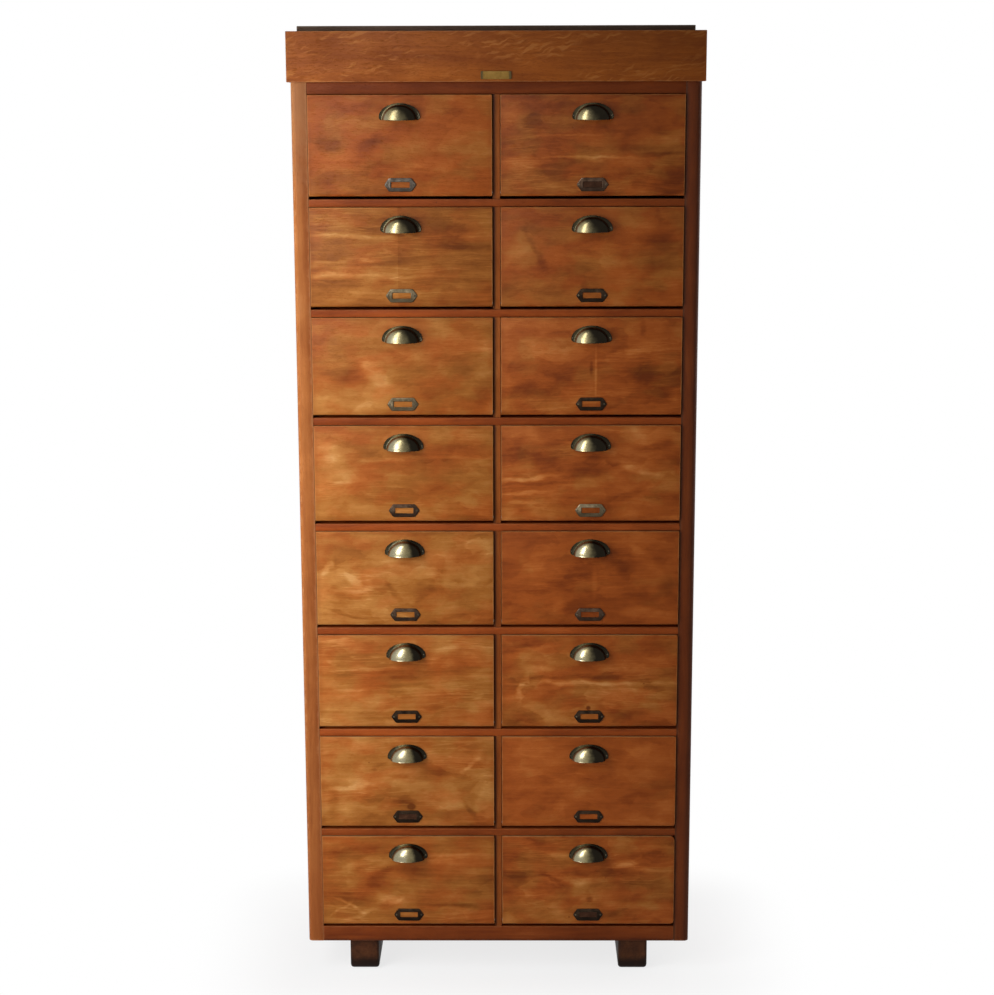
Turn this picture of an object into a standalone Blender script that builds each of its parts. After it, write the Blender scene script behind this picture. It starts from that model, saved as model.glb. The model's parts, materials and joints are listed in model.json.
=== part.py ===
"""A tall notary cabinet: eight rows of two compartments, each closed by a flap that drops on two pins.

Metres, +Z up. The front faces -Y, and the origin lies on the floor under the middle of the whole object.
"""

import math

import bmesh
import bpy

# Case
CASE_WIDTH = 0.870
CASE_DEPTH = 0.400
FOOT_HEIGHT = 0.075
POST_WIDTH = 0.034
POST_DEPTH = 0.040
POST_ROUND = 0.011
SIDE_THICKNESS = 0.022
SIDE_HOUSING = 0.006
BACK_THICKNESS = 0.008
BACK_INSET = 0.002
RAIL_THICKNESS = 0.022
BOTTOM_RAIL_HEIGHT = 0.035
BOTTOM_BOARD_THICKNESS = 0.018
TOP_BOARD_THICKNESS = 0.030
TOP_REVEAL = 0.0252
UPPER_RAIL_HEIGHT = 0.040

# Compartments
ROWS = 8
SHELF_THICKNESS = 0.016
SHELF_EASE = 0.0012
PARTITION_THICKNESS = 0.016
PARTITION_SETBACK = 0.002
STOP_HEIGHT = 0.012
STOP_DEPTH = 0.010

# Flaps and their pins
FLAP_HEIGHT = 0.2125
FLAP_THICKNESS = 0.018
FLAP_PROUD = 0.004
FLAP_TOP_GAP = 0.0009
FLAP_BOTTOM_GAP = 0.0063
FLAP_SIDE_GAP = 0.001
FLAP_LOWER_ROUND = 0.006
FLAP_EASE = 0.0015
PIVOT_BACK = 0.011
PIVOT_UP = 0.0077
PIN_RADIUS = 0.0025
PIN_CLEARANCE = 0.0003
PIN_END_GAP = 0.0015

# Label holders
LABEL_WIDTH = 0.069
LABEL_HEIGHT = 0.029
LABEL_POINT = 0.0105
LABEL_PROUD = 0.002
LABEL_SLOPE = 0.0018
LABEL_UP = 0.0242
WINDOW_WIDTH = 0.040
WINDOW_HEIGHT = 0.0120

# Cup pulls
CUP_DROP = 0.0175
CUP_DEPTH = 0.025
CUP_WALL = 0.0018
FLANGE_WIDTH = 0.088
FLANGE_HEIGHT = 0.035
FLANGE_THICKNESS = 0.0015
FLANGE_RIM = 0.0028
EAR_WIDTH = 0.0068
EAR_ROUND = 0.006

# Frieze, cap and plate
FRIEZE_HEIGHT = 0.105
FRIEZE_PROUD = 0.010
FRIEZE_RETURN = 0.007
FRIEZE_EASE = 0.002
CAP_THICKNESS = 0.0105
CAP_INSET = 0.016
CAP_SETBACK = 0.004
PLATE_WIDTH = 0.064
PLATE_HEIGHT = 0.016
PLATE_THICKNESS = 0.0015
PLATE_UP = 0.0055

# Runners
RUNNER_WIDTH = 0.066
RUNNER_INSET = 0.0935
RUNNER_SETBACK = 0.012
RUNNER_NOSE = 0.014
RUNNER_ROUND = 0.007

# Fits: the gap between pieces that touch, and how far joined shapes sink into each other
FIT = 0.0003
OVERLAP = 0.001

# Facets of round shapes
POST_STEPS = 6
PIN_SIDES = 12
BORE_SIDES = 16
CUP_STEPS = 12
EAR_STEPS = 3
DOME_STEPS = 5
ROUND_SEGMENTS = 4
NOSE_STEPS = 5

# Places across the case
half_width = CASE_WIDTH / 2
post_inner = half_width - POST_WIDTH
side_inner = half_width - SIDE_THICKNESS
partition_half = PARTITION_THICKNESS / 2
bay_width = post_inner - partition_half
bay_centre = (post_inner + partition_half) / 2
flap_width = bay_width - 2 * FLAP_SIDE_GAP
pin_engagement = (PARTITION_THICKNESS - PIN_END_GAP) / 2
pin_reach = FLAP_SIDE_GAP + pin_engagement

# Places from front to back, with the whole depth centred on the origin
front_reach = max(FLAP_PROUD + FIT + CUP_DEPTH, FRIEZE_PROUD + FIT + PLATE_THICKNESS)
front = (front_reach - CASE_DEPTH) / 2
rear = front + CASE_DEPTH
inner_rear = rear - BACK_THICKNESS - FIT
behind_post = front + POST_DEPTH + FIT
flap_face = front - FLAP_PROUD
pivot_y = flap_face + PIVOT_BACK
stop_front = flap_face + FLAP_THICKNESS + FIT
partition_front = front + PARTITION_SETBACK
halving = (front + inner_rear) / 2

# Heights
row_pitch = FLAP_BOTTOM_GAP + FLAP_HEIGHT + FLAP_TOP_GAP + SHELF_THICKNESS
lowest_floor = FOOT_HEIGHT + BOTTOM_RAIL_HEIGHT
ceiling = lowest_floor + ROWS * row_pitch - SHELF_THICKNESS
frieze_bottom = ceiling + TOP_REVEAL
frieze_top = frieze_bottom + FRIEZE_HEIGHT


def floor_of(row):
    """The height of a row's floor, rows counted from 1 at the top."""
    return lowest_floor + (ROWS - row) * row_pitch


def pivot_height(row):
    return floor_of(row) + FLAP_BOTTOM_GAP + PIVOT_UP


def new_material(name, colour, roughness, metallic=0.0):
    material = bpy.data.materials.new(name)
    material.use_nodes = True
    shader = material.node_tree.nodes["Principled BSDF"]
    shader.inputs["Base Color"].default_value = (*colour, 1.0)
    shader.inputs["Roughness"].default_value = roughness
    shader.inputs["Metallic"].default_value = metallic
    material.diffuse_color = (*colour, 1.0)
    return material


def arc(centre, radius, start, end, steps):
    """Points of a circular arc in a plane, angles in degrees."""
    angles = [math.radians(start + (end - start) * i / steps) for i in range(steps + 1)]
    return [
        (centre[0] + radius * math.cos(angle), centre[1] + radius * math.sin(angle))
        for angle in angles
    ]


def rectangle(a0, a1, b0, b1):
    return [(a0, b0), (a1, b0), (a1, b1), (a0, b1)]


def along_x(a, b, depth):
    return (depth, a, b)


def along_y(a, b, depth):
    return (a, depth, b)


def along_z(a, b, depth):
    return (a, b, depth)


def add_prism(bm, outline, low, high, direction):
    """A closed prism: an outline in the plane across a direction, drawn out from low to high."""
    lower = [bm.verts.new(direction(a, b, low)) for a, b in outline]
    upper = [bm.verts.new(direction(a, b, high)) for a, b in outline]
    bm.faces.new(lower)
    bm.faces.new(upper)
    for i in range(len(outline)):
        j = (i + 1) % len(outline)
        bm.faces.new((lower[i], lower[j], upper[j], upper[i]))


def finished_mesh(name, bm):
    bmesh.ops.recalc_face_normals(bm, faces=bm.faces)
    mesh = bpy.data.meshes.new(name)
    bm.to_mesh(mesh)
    bm.free()
    return mesh


def add_object(name, mesh, material=None, location=(0, 0, 0)):
    obj = bpy.data.objects.new(name, mesh)
    obj.location = location
    bpy.context.scene.collection.objects.link(obj)
    if material and not mesh.materials:
        mesh.materials.append(material)
    return obj


def prisms(name, outlines, low, high, direction, material=None):
    """One object of one or more prisms that share their direction and length."""
    bm = bmesh.new()
    for outline in outlines:
        add_prism(bm, outline, low, high, direction)
    return add_object(name, finished_mesh(name, bm), material)


def combine(obj, other, operation):
    """Cuts another object from this one or joins it on, and hides the other as a helper."""
    modifier = obj.modifiers.new(other.name, "BOOLEAN")
    modifier.operation = operation
    modifier.object = other
    modifier.solver = "EXACT"
    other.hide_render = True
    other.display_type = "WIRE"


def settled_mesh(name, obj, helpers):
    """The mesh that an object's modifiers give, so that several objects can share it."""
    bpy.context.view_layer.update()
    evaluated = obj.evaluated_get(bpy.context.evaluated_depsgraph_get())
    mesh = bpy.data.meshes.new_from_object(evaluated)
    mesh.name = name
    for helper in [obj, *helpers]:
        bpy.data.objects.remove(helper)
    return mesh


def circle(centre, radius, sides):
    return arc(centre, radius, 0, 360 - 360 / sides, sides - 1)


def ease_front(obj, edges, widest, segments):
    """Rounds edges of a front face: pairs of a test on an edge's middle and the radius it gets."""
    mesh = obj.data
    weights = mesh.attributes.new("bevel_weight_edge", "FLOAT", "EDGE")
    for edge in mesh.edges:
        ends = [mesh.vertices[i].co for i in edge.vertices]
        middle = (ends[0] + ends[1]) / 2
        for lies_on, radius in edges:
            if lies_on(middle):
                weights.data[edge.index].value = radius / widest
    bevel = obj.modifiers.new("eased_edges", "BEVEL")
    bevel.limit_method = "WEIGHT"
    bevel.width = widest
    bevel.segments = segments


def front_posts():
    """The stiles: the outer front arris is rounded, and the inner face has a bore for each flap's pin."""
    depth = pin_engagement + PIN_END_GAP
    bores = [circle((pivot_y, pivot_height(row)), PIN_RADIUS + PIN_CLEARANCE, BORE_SIDES) for row in rows]
    corner = (half_width - POST_ROUND, front + POST_ROUND)
    rounded = arc(corner, POST_ROUND, -90, 0, POST_STEPS)
    back = front + POST_DEPTH
    right = [(post_inner, front), *rounded, (half_width, back), (post_inner, back)]
    for side, sign in sides:
        outline = [(sign * x, y) for x, y in right]
        post = prisms(f"{side}_front_post", [outline], FOOT_HEIGHT, frieze_top, along_z, case_wood)
        ends = sorted((sign * (post_inner - OVERLAP), sign * (post_inner + depth)))
        cutter = prisms(f"{side}_post_bores", bores, *ends, along_x)
        combine(post, cutter, "DIFFERENCE")


def side_boards():
    """Each side board stands behind its post and is housed for the ends of the shelves and boards."""
    heights = [(floor_of(row) - SHELF_THICKNESS, floor_of(row)) for row in rows[:-1]]
    heights.append((lowest_floor - BOTTOM_BOARD_THICKNESS, lowest_floor))
    heights.append((ceiling, ceiling + TOP_BOARD_THICKNESS))
    for side, sign in sides:
        across = sorted((sign * side_inner, sign * half_width))
        plan = rectangle(*across, behind_post, inner_rear)
        board = prisms(f"{side}_side", [plan], FOOT_HEIGHT, frieze_top, along_z, case_wood)
        reach = sorted((sign * (side_inner - OVERLAP), sign * (side_inner + SIDE_HOUSING)))
        grooves = [rectangle(*reach, low - FIT, high + FIT) for low, high in heights]
        cutter = prisms(f"{side}_housings", grooves, behind_post - OVERLAP, inner_rear + OVERLAP, along_y)
        combine(board, cutter, "DIFFERENCE")


def board_plan(board_front, slotted):
    """A board between the sides: notched round the posts, and slotted from behind for the partition."""
    between_posts = post_inner - FIT
    housed = side_inner + SIDE_HOUSING - FIT
    right = [
        (between_posts, board_front),
        (between_posts, behind_post),
        (housed, behind_post),
        (housed, inner_rear),
    ]
    if slotted:
        slot = partition_half + FIT
        right += [(slot, inner_rear), (slot, halving)]
    return right + [(-x, y) for x, y in reversed(right)]


def stopped_board_mesh(name, thickness, slotted):
    """A shelf or the case top, with the two strips glued under it that the flaps close against."""
    board = prisms(name, [board_plan(front, slotted)], 0, thickness, along_z, case_wood)
    ease_front(
        board,
        [
            (lambda m: abs(m.y - front) < FIT and abs(m.z) < FIT, SHELF_EASE),
            (lambda m: abs(m.y - front) < FIT and abs(m.z - thickness) < FIT, SHELF_EASE),
        ],
        SHELF_EASE,
        2,
    )
    near, far = partition_half + FIT, post_inner - FIT
    depth = (stop_front, stop_front + STOP_DEPTH)
    plans = [rectangle(near, far, *depth), rectangle(-far, -near, *depth)]
    strips = prisms(f"{name}_strips", plans, -STOP_HEIGHT, thickness / 2, along_z)
    combine(board, strips, "UNION")
    return settled_mesh(name, board, [strips])


def shelves():
    """Seven shelves run through at the front and are halved over the partition behind."""
    mesh = stopped_board_mesh("shelf", SHELF_THICKNESS, slotted=True)
    for row in rows[:-1]:
        add_object(f"shelf_{row}", mesh, location=(0, 0, floor_of(row) - SHELF_THICKNESS))


def top_and_bottom():
    """The case top, the floor of the lowest row and the rails in front of and behind it."""
    top = stopped_board_mesh("top_board", TOP_BOARD_THICKNESS, slotted=False)
    add_object("top_board", top, location=(0, 0, ceiling))
    rail_back = front + RAIL_THICKNESS
    under = lowest_floor - BOTTOM_BOARD_THICKNESS
    plan = board_plan(rail_back + FIT, slotted=False)
    prisms("bottom_board", [plan], under, lowest_floor, along_z, case_wood)
    between_posts = post_inner - FIT
    rail_plan = rectangle(-between_posts, between_posts, front, rail_back)
    prisms("bottom_rail", [rail_plan], FOOT_HEIGHT, lowest_floor, along_z, case_wood)
    prisms("upper_rail", [rail_plan], frieze_top - UPPER_RAIL_HEIGHT, frieze_top, along_z, case_wood)
    between_sides = side_inner - FIT
    rear_plan = rectangle(-between_sides, between_sides, inner_rear - RAIL_THICKNESS, inner_rear)
    prisms("rear_bottom_rail", [rear_plan], FOOT_HEIGHT, under - FIT, along_z, case_wood)


def partition():
    """The upright between the columns: notched from the front for each shelf, bored for the pins."""
    low, high = lowest_floor + FIT, ceiling - FIT
    outline = [(inner_rear, high), (inner_rear, low), (partition_front, low)]
    for row in reversed(rows[:-1]):
        under, over = floor_of(row) - SHELF_THICKNESS - FIT, floor_of(row) + FIT
        outline += [(partition_front, under), (halving + FIT, under)]
        outline += [(halving + FIT, over), (partition_front, over)]
    outline.append((partition_front, high))
    board = prisms("centre_partition", [outline], -partition_half, partition_half, along_x, case_wood)
    bores = [circle((pivot_y, pivot_height(row)), PIN_RADIUS + PIN_CLEARANCE, BORE_SIDES) for row in rows]
    through = partition_half + OVERLAP
    cutter = prisms("partition_bores", bores, -through, through, along_x)
    combine(board, cutter, "DIFFERENCE")


def back_panel():
    wide = half_width - BACK_INSET
    plan = rectangle(-wide, wide, rear - BACK_THICKNESS, rear)
    prisms("back_panel", [plan], FOOT_HEIGHT, frieze_top, along_z, back_wood)


def frieze():
    """The oak boards round the top of the case: a front, two returns, and the cap that lies on the case."""
    face = front - FIT - FRIEZE_PROUD
    wide = half_width + FRIEZE_RETURN
    plan = rectangle(-wide, wide, face, front - FIT)
    board = prisms("frieze_front", [plan], frieze_bottom, frieze_top, along_z, frieze_wood)
    ease_front(board, [(lambda m: abs(m.y - face) < FIT, FRIEZE_EASE)], FRIEZE_EASE, 2)
    for side, sign in sides:
        across = sorted((sign * (half_width + FIT), sign * wide))
        plan = rectangle(*across, front, rear)
        prisms(f"frieze_{side}", [plan], frieze_bottom, frieze_top, along_z, frieze_wood)
    cap = half_width - CAP_INSET
    plan = rectangle(-cap, cap, front + CAP_SETBACK, rear)
    low = frieze_top + FIT
    prisms("cap_board", [plan], low, low + CAP_THICKNESS, along_z, frieze_wood)
    low = frieze_bottom + PLATE_UP
    upright = rectangle(-PLATE_WIDTH / 2, PLATE_WIDTH / 2, low, low + PLATE_HEIGHT)
    plate_back = face - FIT
    prisms("blank_plate", [upright], plate_back - PLATE_THICKNESS, plate_back, along_y, brass)


def runners():
    """Two beams under the case from front to back, their lower and front edges rounded off."""
    nose = front + RUNNER_SETBACK
    rounded = arc((nose + RUNNER_NOSE, RUNNER_NOSE), RUNNER_NOSE, 180, 270, NOSE_STEPS)
    top = FOOT_HEIGHT - FIT
    outline = [(nose, top), *rounded, (inner_rear, 0), (inner_rear, top)]
    for side, sign in sides:
        outer = half_width - RUNNER_INSET
        ends = sorted((sign * outer, sign * (outer - RUNNER_WIDTH)))
        runner = prisms(f"{side}_runner", [outline], *ends, along_x, runner_wood)
        foot = RUNNER_NOSE + FIT

        def on_side(m):
            return min(abs(m.x - x) for x in ends) < FIT and (m.z < foot or m.y < nose + FIT)

        ease_front(runner, [(on_side, RUNNER_ROUND)], RUNNER_ROUND, ROUND_SEGMENTS)


def flap_mesh():
    """A flap about its pivot axis: a panel, a pin at each end, and the label holder on its face."""
    face, foot, head = -PIVOT_BACK, -PIVOT_UP, FLAP_HEIGHT - PIVOT_UP
    half = flap_width / 2
    section = rectangle(face, face + FLAP_THICKNESS, foot, head)
    panel = prisms("flap", [section], -half, half, along_x, flap_veneer)
    ease_front(
        panel,
        [
            (lambda m: abs(m.y - face) < FIT and m.z > foot + FIT, FLAP_EASE),
            (lambda m: abs(m.y - face) < FIT and abs(m.z - foot) < FIT, FLAP_LOWER_ROUND),
        ],
        FLAP_LOWER_ROUND,
        ROUND_SEGMENTS,
    )
    turned = circle((0, 0), PIN_RADIUS, PIN_SIDES)
    pins = [
        prisms("right_pin", [turned], half - PIN_RADIUS, half + pin_reach, along_x),
        prisms("left_pin", [turned], -half - pin_reach, -half + PIN_RADIUS, along_x),
    ]
    holder = label_holder(face, LABEL_UP - PIVOT_UP)
    for piece in [*pins, holder]:
        combine(panel, piece, "UNION")
    return settled_mesh("flap", panel, [*pins, holder])


def label_holder(face, middle):
    """A stamped frame with pointed ends and sloping edges round an open window, sunk a little into the face."""

    def ring(half_length, shoulder, half_height, out):
        right = [(shoulder, -half_height), (half_length, 0), (shoulder, half_height)]
        points = right + [(-x, z) for x, z in reversed(right)]
        return [(x, face - out, middle + z) for x, z in points]

    tip, shoulder, tall = LABEL_WIDTH / 2, LABEL_WIDTH / 2 - LABEL_POINT, LABEL_HEIGHT / 2
    slope, wide, high = LABEL_SLOPE, WINDOW_WIDTH / 2, WINDOW_HEIGHT / 2
    curves = [
        ring(tip, shoulder, tall, -OVERLAP),
        ring(tip, shoulder, tall, 0),
        ring(tip - slope, shoulder - slope / 2, tall - slope, LABEL_PROUD),
        ring(wide, wide, high, LABEL_PROUD),
        ring(wide, wide, high, -OVERLAP),
    ]
    bm = bmesh.new()
    rings = [[bm.verts.new(point) for point in curve] for curve in curves]
    for inner, outer in zip(rings, rings[1:] + rings[:1]):
        for i in range(len(inner)):
            j = (i + 1) % len(inner)
            bm.faces.new((inner[i], inner[j], outer[j], outer[i]))
    return add_object("label_holder", finished_mesh("label_holder", bm))


def cup_mesh():
    """A shell pull: a half-moon flange with round ears, and a quarter-ellipsoid cup, open below and behind.

    Curves that each run over the arch, from one end to the other, are bridged in turn round the wall.
    """
    seat, half = FLANGE_THICKNESS, FLANGE_WIDTH / 2
    wide, tall, deep = half - EAR_WIDTH, FLANGE_HEIGHT - FLANGE_RIM, CUP_DEPTH - FLANGE_THICKNESS
    corner = min(EAR_ROUND, EAR_WIDTH - FIT)
    ear = arc((half - corner, corner), corner, -90, 0, EAR_STEPS)
    rise = [math.pi * i / CUP_STEPS for i in range(1, CUP_STEPS)]
    over = [(half * math.cos(t), corner + (FLANGE_HEIGHT - corner) * math.sin(t)) for t in rise]
    outline = ear + over + [(-x, z) for x, z in reversed(ear)]
    turns = [math.atan2(z / tall, x / wide) for x, z in outline]
    lifts = [math.pi / 2 * i / DOME_STEPS for i in range(DOME_STEPS + 1)]

    def dome(inset, lift):
        half, height, reach = wide - inset, tall - inset, deep - inset
        return [
            (
                half * math.cos(t),
                -seat - reach * math.sin(t) * math.sin(lift),
                height * math.sin(t) * math.cos(lift),
            )
            for t in turns
        ]

    curves = [[(x, -out, z) for x, z in outline] for out in (0, seat)]
    curves += [dome(0, lift) for lift in lifts]
    curves += [dome(CUP_WALL, lift) for lift in reversed(lifts)]
    curves.append([(x, 0, z) for x, y, z in curves[-1]])

    bm = bmesh.new()
    rings = [[bm.verts.new(point) for point in curve] for curve in curves]
    for ring, following in zip(rings, rings[1:] + rings[:1]):
        for i in range(len(outline) - 1):
            bm.faces.new((ring[i], ring[i + 1], following[i + 1], following[i]))
    outer, inner = DOME_STEPS + 2, DOME_STEPS + 3
    for end in (0, len(outline) - 1):
        bm.faces.new([rings[i][end] for i in (0, 1, outer, inner, len(rings) - 1)])
    bmesh.ops.remove_doubles(bm, verts=bm.verts, dist=FIT / 100)
    mesh = finished_mesh("cup_pull", bm)
    mesh.shade_smooth()
    mesh.set_sharp_from_angle(angle=math.radians(40))
    mesh.materials.append(brass)
    return mesh


def flaps():
    """Sixteen flaps, each with its origin on its pivot axis and its pull riding on it."""
    panel, pull = flap_mesh(), cup_mesh()
    cup_up = FLAP_HEIGHT - PIVOT_UP - CUP_DROP - FLANGE_HEIGHT
    for row in rows:
        for side, sign in sides:
            place = (sign * bay_centre, pivot_y, pivot_height(row))
            flap = add_object(f"flap_{row}_{side}", panel, location=place)
            cup = add_object(f"pull_{row}_{side}", pull, location=(0, -PIVOT_BACK - FIT, cup_up))
            cup.parent = flap


for leftover in list(bpy.data.objects):
    bpy.data.objects.remove(leftover)

rows = range(1, ROWS + 1)
sides = (("left", -1), ("right", 1))

case_wood = new_material("red_brown_case_wood", (0.27, 0.11, 0.055), 0.45)
flap_veneer = new_material("golden_mottled_veneer", (0.45, 0.22, 0.085), 0.38)
frieze_wood = new_material("oak", (0.34, 0.17, 0.075), 0.45)
back_wood = new_material("plain_plywood", (0.40, 0.27, 0.15), 0.7)
runner_wood = new_material("dark_brown_wood", (0.10, 0.045, 0.022), 0.5)
brass = new_material("old_brass", (0.44, 0.31, 0.14), 0.35, 1.0)

front_posts()
side_boards()
shelves()
top_and_bottom()
partition()
back_panel()
frieze()
runners()
flaps()
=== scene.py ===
"""The looks of an old notary cabinet: eight rows of two drop flaps in a stained wooden case.

Metres, +Z up, and the front faces -Y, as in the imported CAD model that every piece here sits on.
"""

import json
import math
import random

import bmesh
import bpy
from mathutils import Euler, Matrix, Vector


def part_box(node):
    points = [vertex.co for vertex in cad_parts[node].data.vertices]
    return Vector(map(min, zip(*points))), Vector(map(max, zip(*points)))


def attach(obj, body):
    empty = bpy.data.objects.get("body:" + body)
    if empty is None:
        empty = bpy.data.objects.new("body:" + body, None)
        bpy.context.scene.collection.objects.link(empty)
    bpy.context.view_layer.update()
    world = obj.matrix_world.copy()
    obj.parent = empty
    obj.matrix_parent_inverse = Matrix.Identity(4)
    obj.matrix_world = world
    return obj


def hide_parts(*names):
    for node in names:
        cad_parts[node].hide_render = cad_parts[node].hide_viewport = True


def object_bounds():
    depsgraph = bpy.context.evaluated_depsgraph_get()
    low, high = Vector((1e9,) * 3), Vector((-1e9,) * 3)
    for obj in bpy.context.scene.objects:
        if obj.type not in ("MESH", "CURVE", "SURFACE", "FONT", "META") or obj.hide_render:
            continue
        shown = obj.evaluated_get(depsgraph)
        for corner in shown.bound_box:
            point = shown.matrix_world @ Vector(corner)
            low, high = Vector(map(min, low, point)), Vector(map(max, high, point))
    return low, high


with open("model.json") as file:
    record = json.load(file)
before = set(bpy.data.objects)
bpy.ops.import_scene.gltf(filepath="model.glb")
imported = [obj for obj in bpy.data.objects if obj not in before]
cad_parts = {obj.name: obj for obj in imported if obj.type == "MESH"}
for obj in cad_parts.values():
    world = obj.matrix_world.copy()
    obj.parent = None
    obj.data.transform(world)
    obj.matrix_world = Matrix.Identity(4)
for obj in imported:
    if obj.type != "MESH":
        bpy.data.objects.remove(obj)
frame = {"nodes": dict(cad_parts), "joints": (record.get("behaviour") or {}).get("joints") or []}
cad_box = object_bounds()

# Runners
# Two beams of dark-stained softwood carry the case from front to back. They are sawn square, rounded off at
# the nose and screwed up into the bottom rails. Their worn arrises are dark, and painted shade darkens
# them below and along their sides behind the nose.

RUNNER_EASE = 0.0015
RUNNER_WEAR = 0.011
RUNNER_ROUGHNESS = 0.55
RUNNER_STAIN = [(0.018, 0.007, 0.004), (0.052, 0.018, 0.0075), (0.092, 0.032, 0.012), (0.155, 0.058, 0.024)]
# A near-black colour for the runners' worn arrises and for painted shade.
RUNNER_GRIME_AND_SHADE = (0.009, 0.005, 0.0035)
RUNNER_FIGURE = {"Streaks": 0.5, "Bands": 0.6, "Clouds": 0.4, "Flame": 0.2}
# Painted shade on the runners: darker towards the floor, and along their sides behind the nose.
RUNNER_PAINTED_SHADE = [("Z", 0.038, 0.017, RUNNER_GRIME_AND_SHADE, 0.92, 0.014), ("Y", -0.170, -0.160, RUNNER_GRIME_AND_SHADE, 0.75)]
WOOD_GLOSS = 0.08
GRAIN_DEPTH = 0.0004
LEAST_ARRIS = 0.008
SOFT_ANGLE = 35


def feed(tree, socket, value):
    """Links a socket to another one, or sets it to a plain value."""
    if isinstance(value, bpy.types.NodeSocket):
        tree.links.new(value, socket)
    else:
        socket.default_value = value


def add(tree, kind, inputs, **options):
    """Adds a shader node, sets its options, feeds its inputs, and gives its first output."""
    node = tree.nodes.new("ShaderNode" + kind)
    for option, value in options.items():
        setattr(node, option, value)
    for name, value in inputs.items():
        feed(tree, node.inputs[name], value)
    return node.outputs[0]


def calc(tree, operation, *terms):
    return add(tree, "Math", dict(enumerate(terms)), operation=operation)


def vector(tree, operation, *terms):
    return add(tree, "VectorMath", dict(enumerate(terms)), operation=operation)


def measure(tree, operation, *terms):
    """A vector operation that gives one number, such as a length."""
    node = vector(tree, operation, *terms).node
    return node.outputs["Value"]


def split(tree, place):
    """The X, Y and Z of a vector."""
    return add(tree, "SeparateXYZ", {0: place}).node.outputs


def own_place(tree):
    """The point in the piece's own frame, so that what is drawn there moves with the piece."""
    return tree.nodes.new("ShaderNodeTexCoord").outputs["Object"]


def noise(tree, place, waves, detail, rough=0.5):
    """Noise with so many waves a metre along each axis."""
    spot = vector(tree, "MULTIPLY", place, waves)
    return add(tree, "TexNoise", {"Vector": spot, "Scale": 1.0, "Detail": detail, "Roughness": rough})


def step(tree, value, low, high):
    """0 below low, 1 above high, and a smooth rise between; low may be the larger one."""
    inputs = {"Value": value, "From Min": low, "From Max": high}
    return add(tree, "MapRange", inputs, interpolation_type="SMOOTHSTEP")


def blend(tree, share, under, over):
    """A share of one colour over another."""
    node = tree.nodes.new("ShaderNodeMix")
    node.data_type = "RGBA"
    for socket, value in ((node.inputs[0], share), (node.inputs[6], under), (node.inputs[7], over)):
        feed(tree, socket, (*value, 1.0) if isinstance(value, tuple) else value)
    return node.outputs[2]


def shades(tree, tone, colours, low=0.15, high=0.85):
    """Colours from dark to light, spread evenly over the tones from low to high."""
    node = tree.nodes.new("ShaderNodeValToRGB")
    stops = node.color_ramp.elements
    while len(stops) < len(colours):
        stops.new(0.5)
    for i, colour in enumerate(colours):
        stops[i].position = low + (high - low) * i / (len(colours) - 1)
        stops[i].color = (*colour, 1.0)
    feed(tree, node.inputs[0], tone)
    return node.outputs[0]


def new_group(name, inputs, outputs):
    """An empty node group: its tree, the sockets that come in and the sockets that go out."""
    tree = bpy.data.node_groups.new(name, "ShaderNodeTree")
    for socket, value in inputs.items():
        kind = "NodeSocketVector" if isinstance(value, tuple) else "NodeSocketFloat"
        tree.interface.new_socket(socket, in_out="INPUT", socket_type=kind).default_value = value
    for socket in outputs:
        tree.interface.new_socket(socket, in_out="OUTPUT", socket_type="NodeSocketFloat")
    return tree, tree.nodes.new("NodeGroupInput").outputs, tree.nodes.new("NodeGroupOutput").inputs


def use(tree, group, inputs):
    """Places a node group, feeds it and gives its outputs."""
    node = tree.nodes.new("ShaderNodeGroup")
    node.node_tree = bpy.data.node_groups[group]
    for name, value in inputs.items():
        feed(tree, node.inputs[name], value)
    return node.outputs


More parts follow.
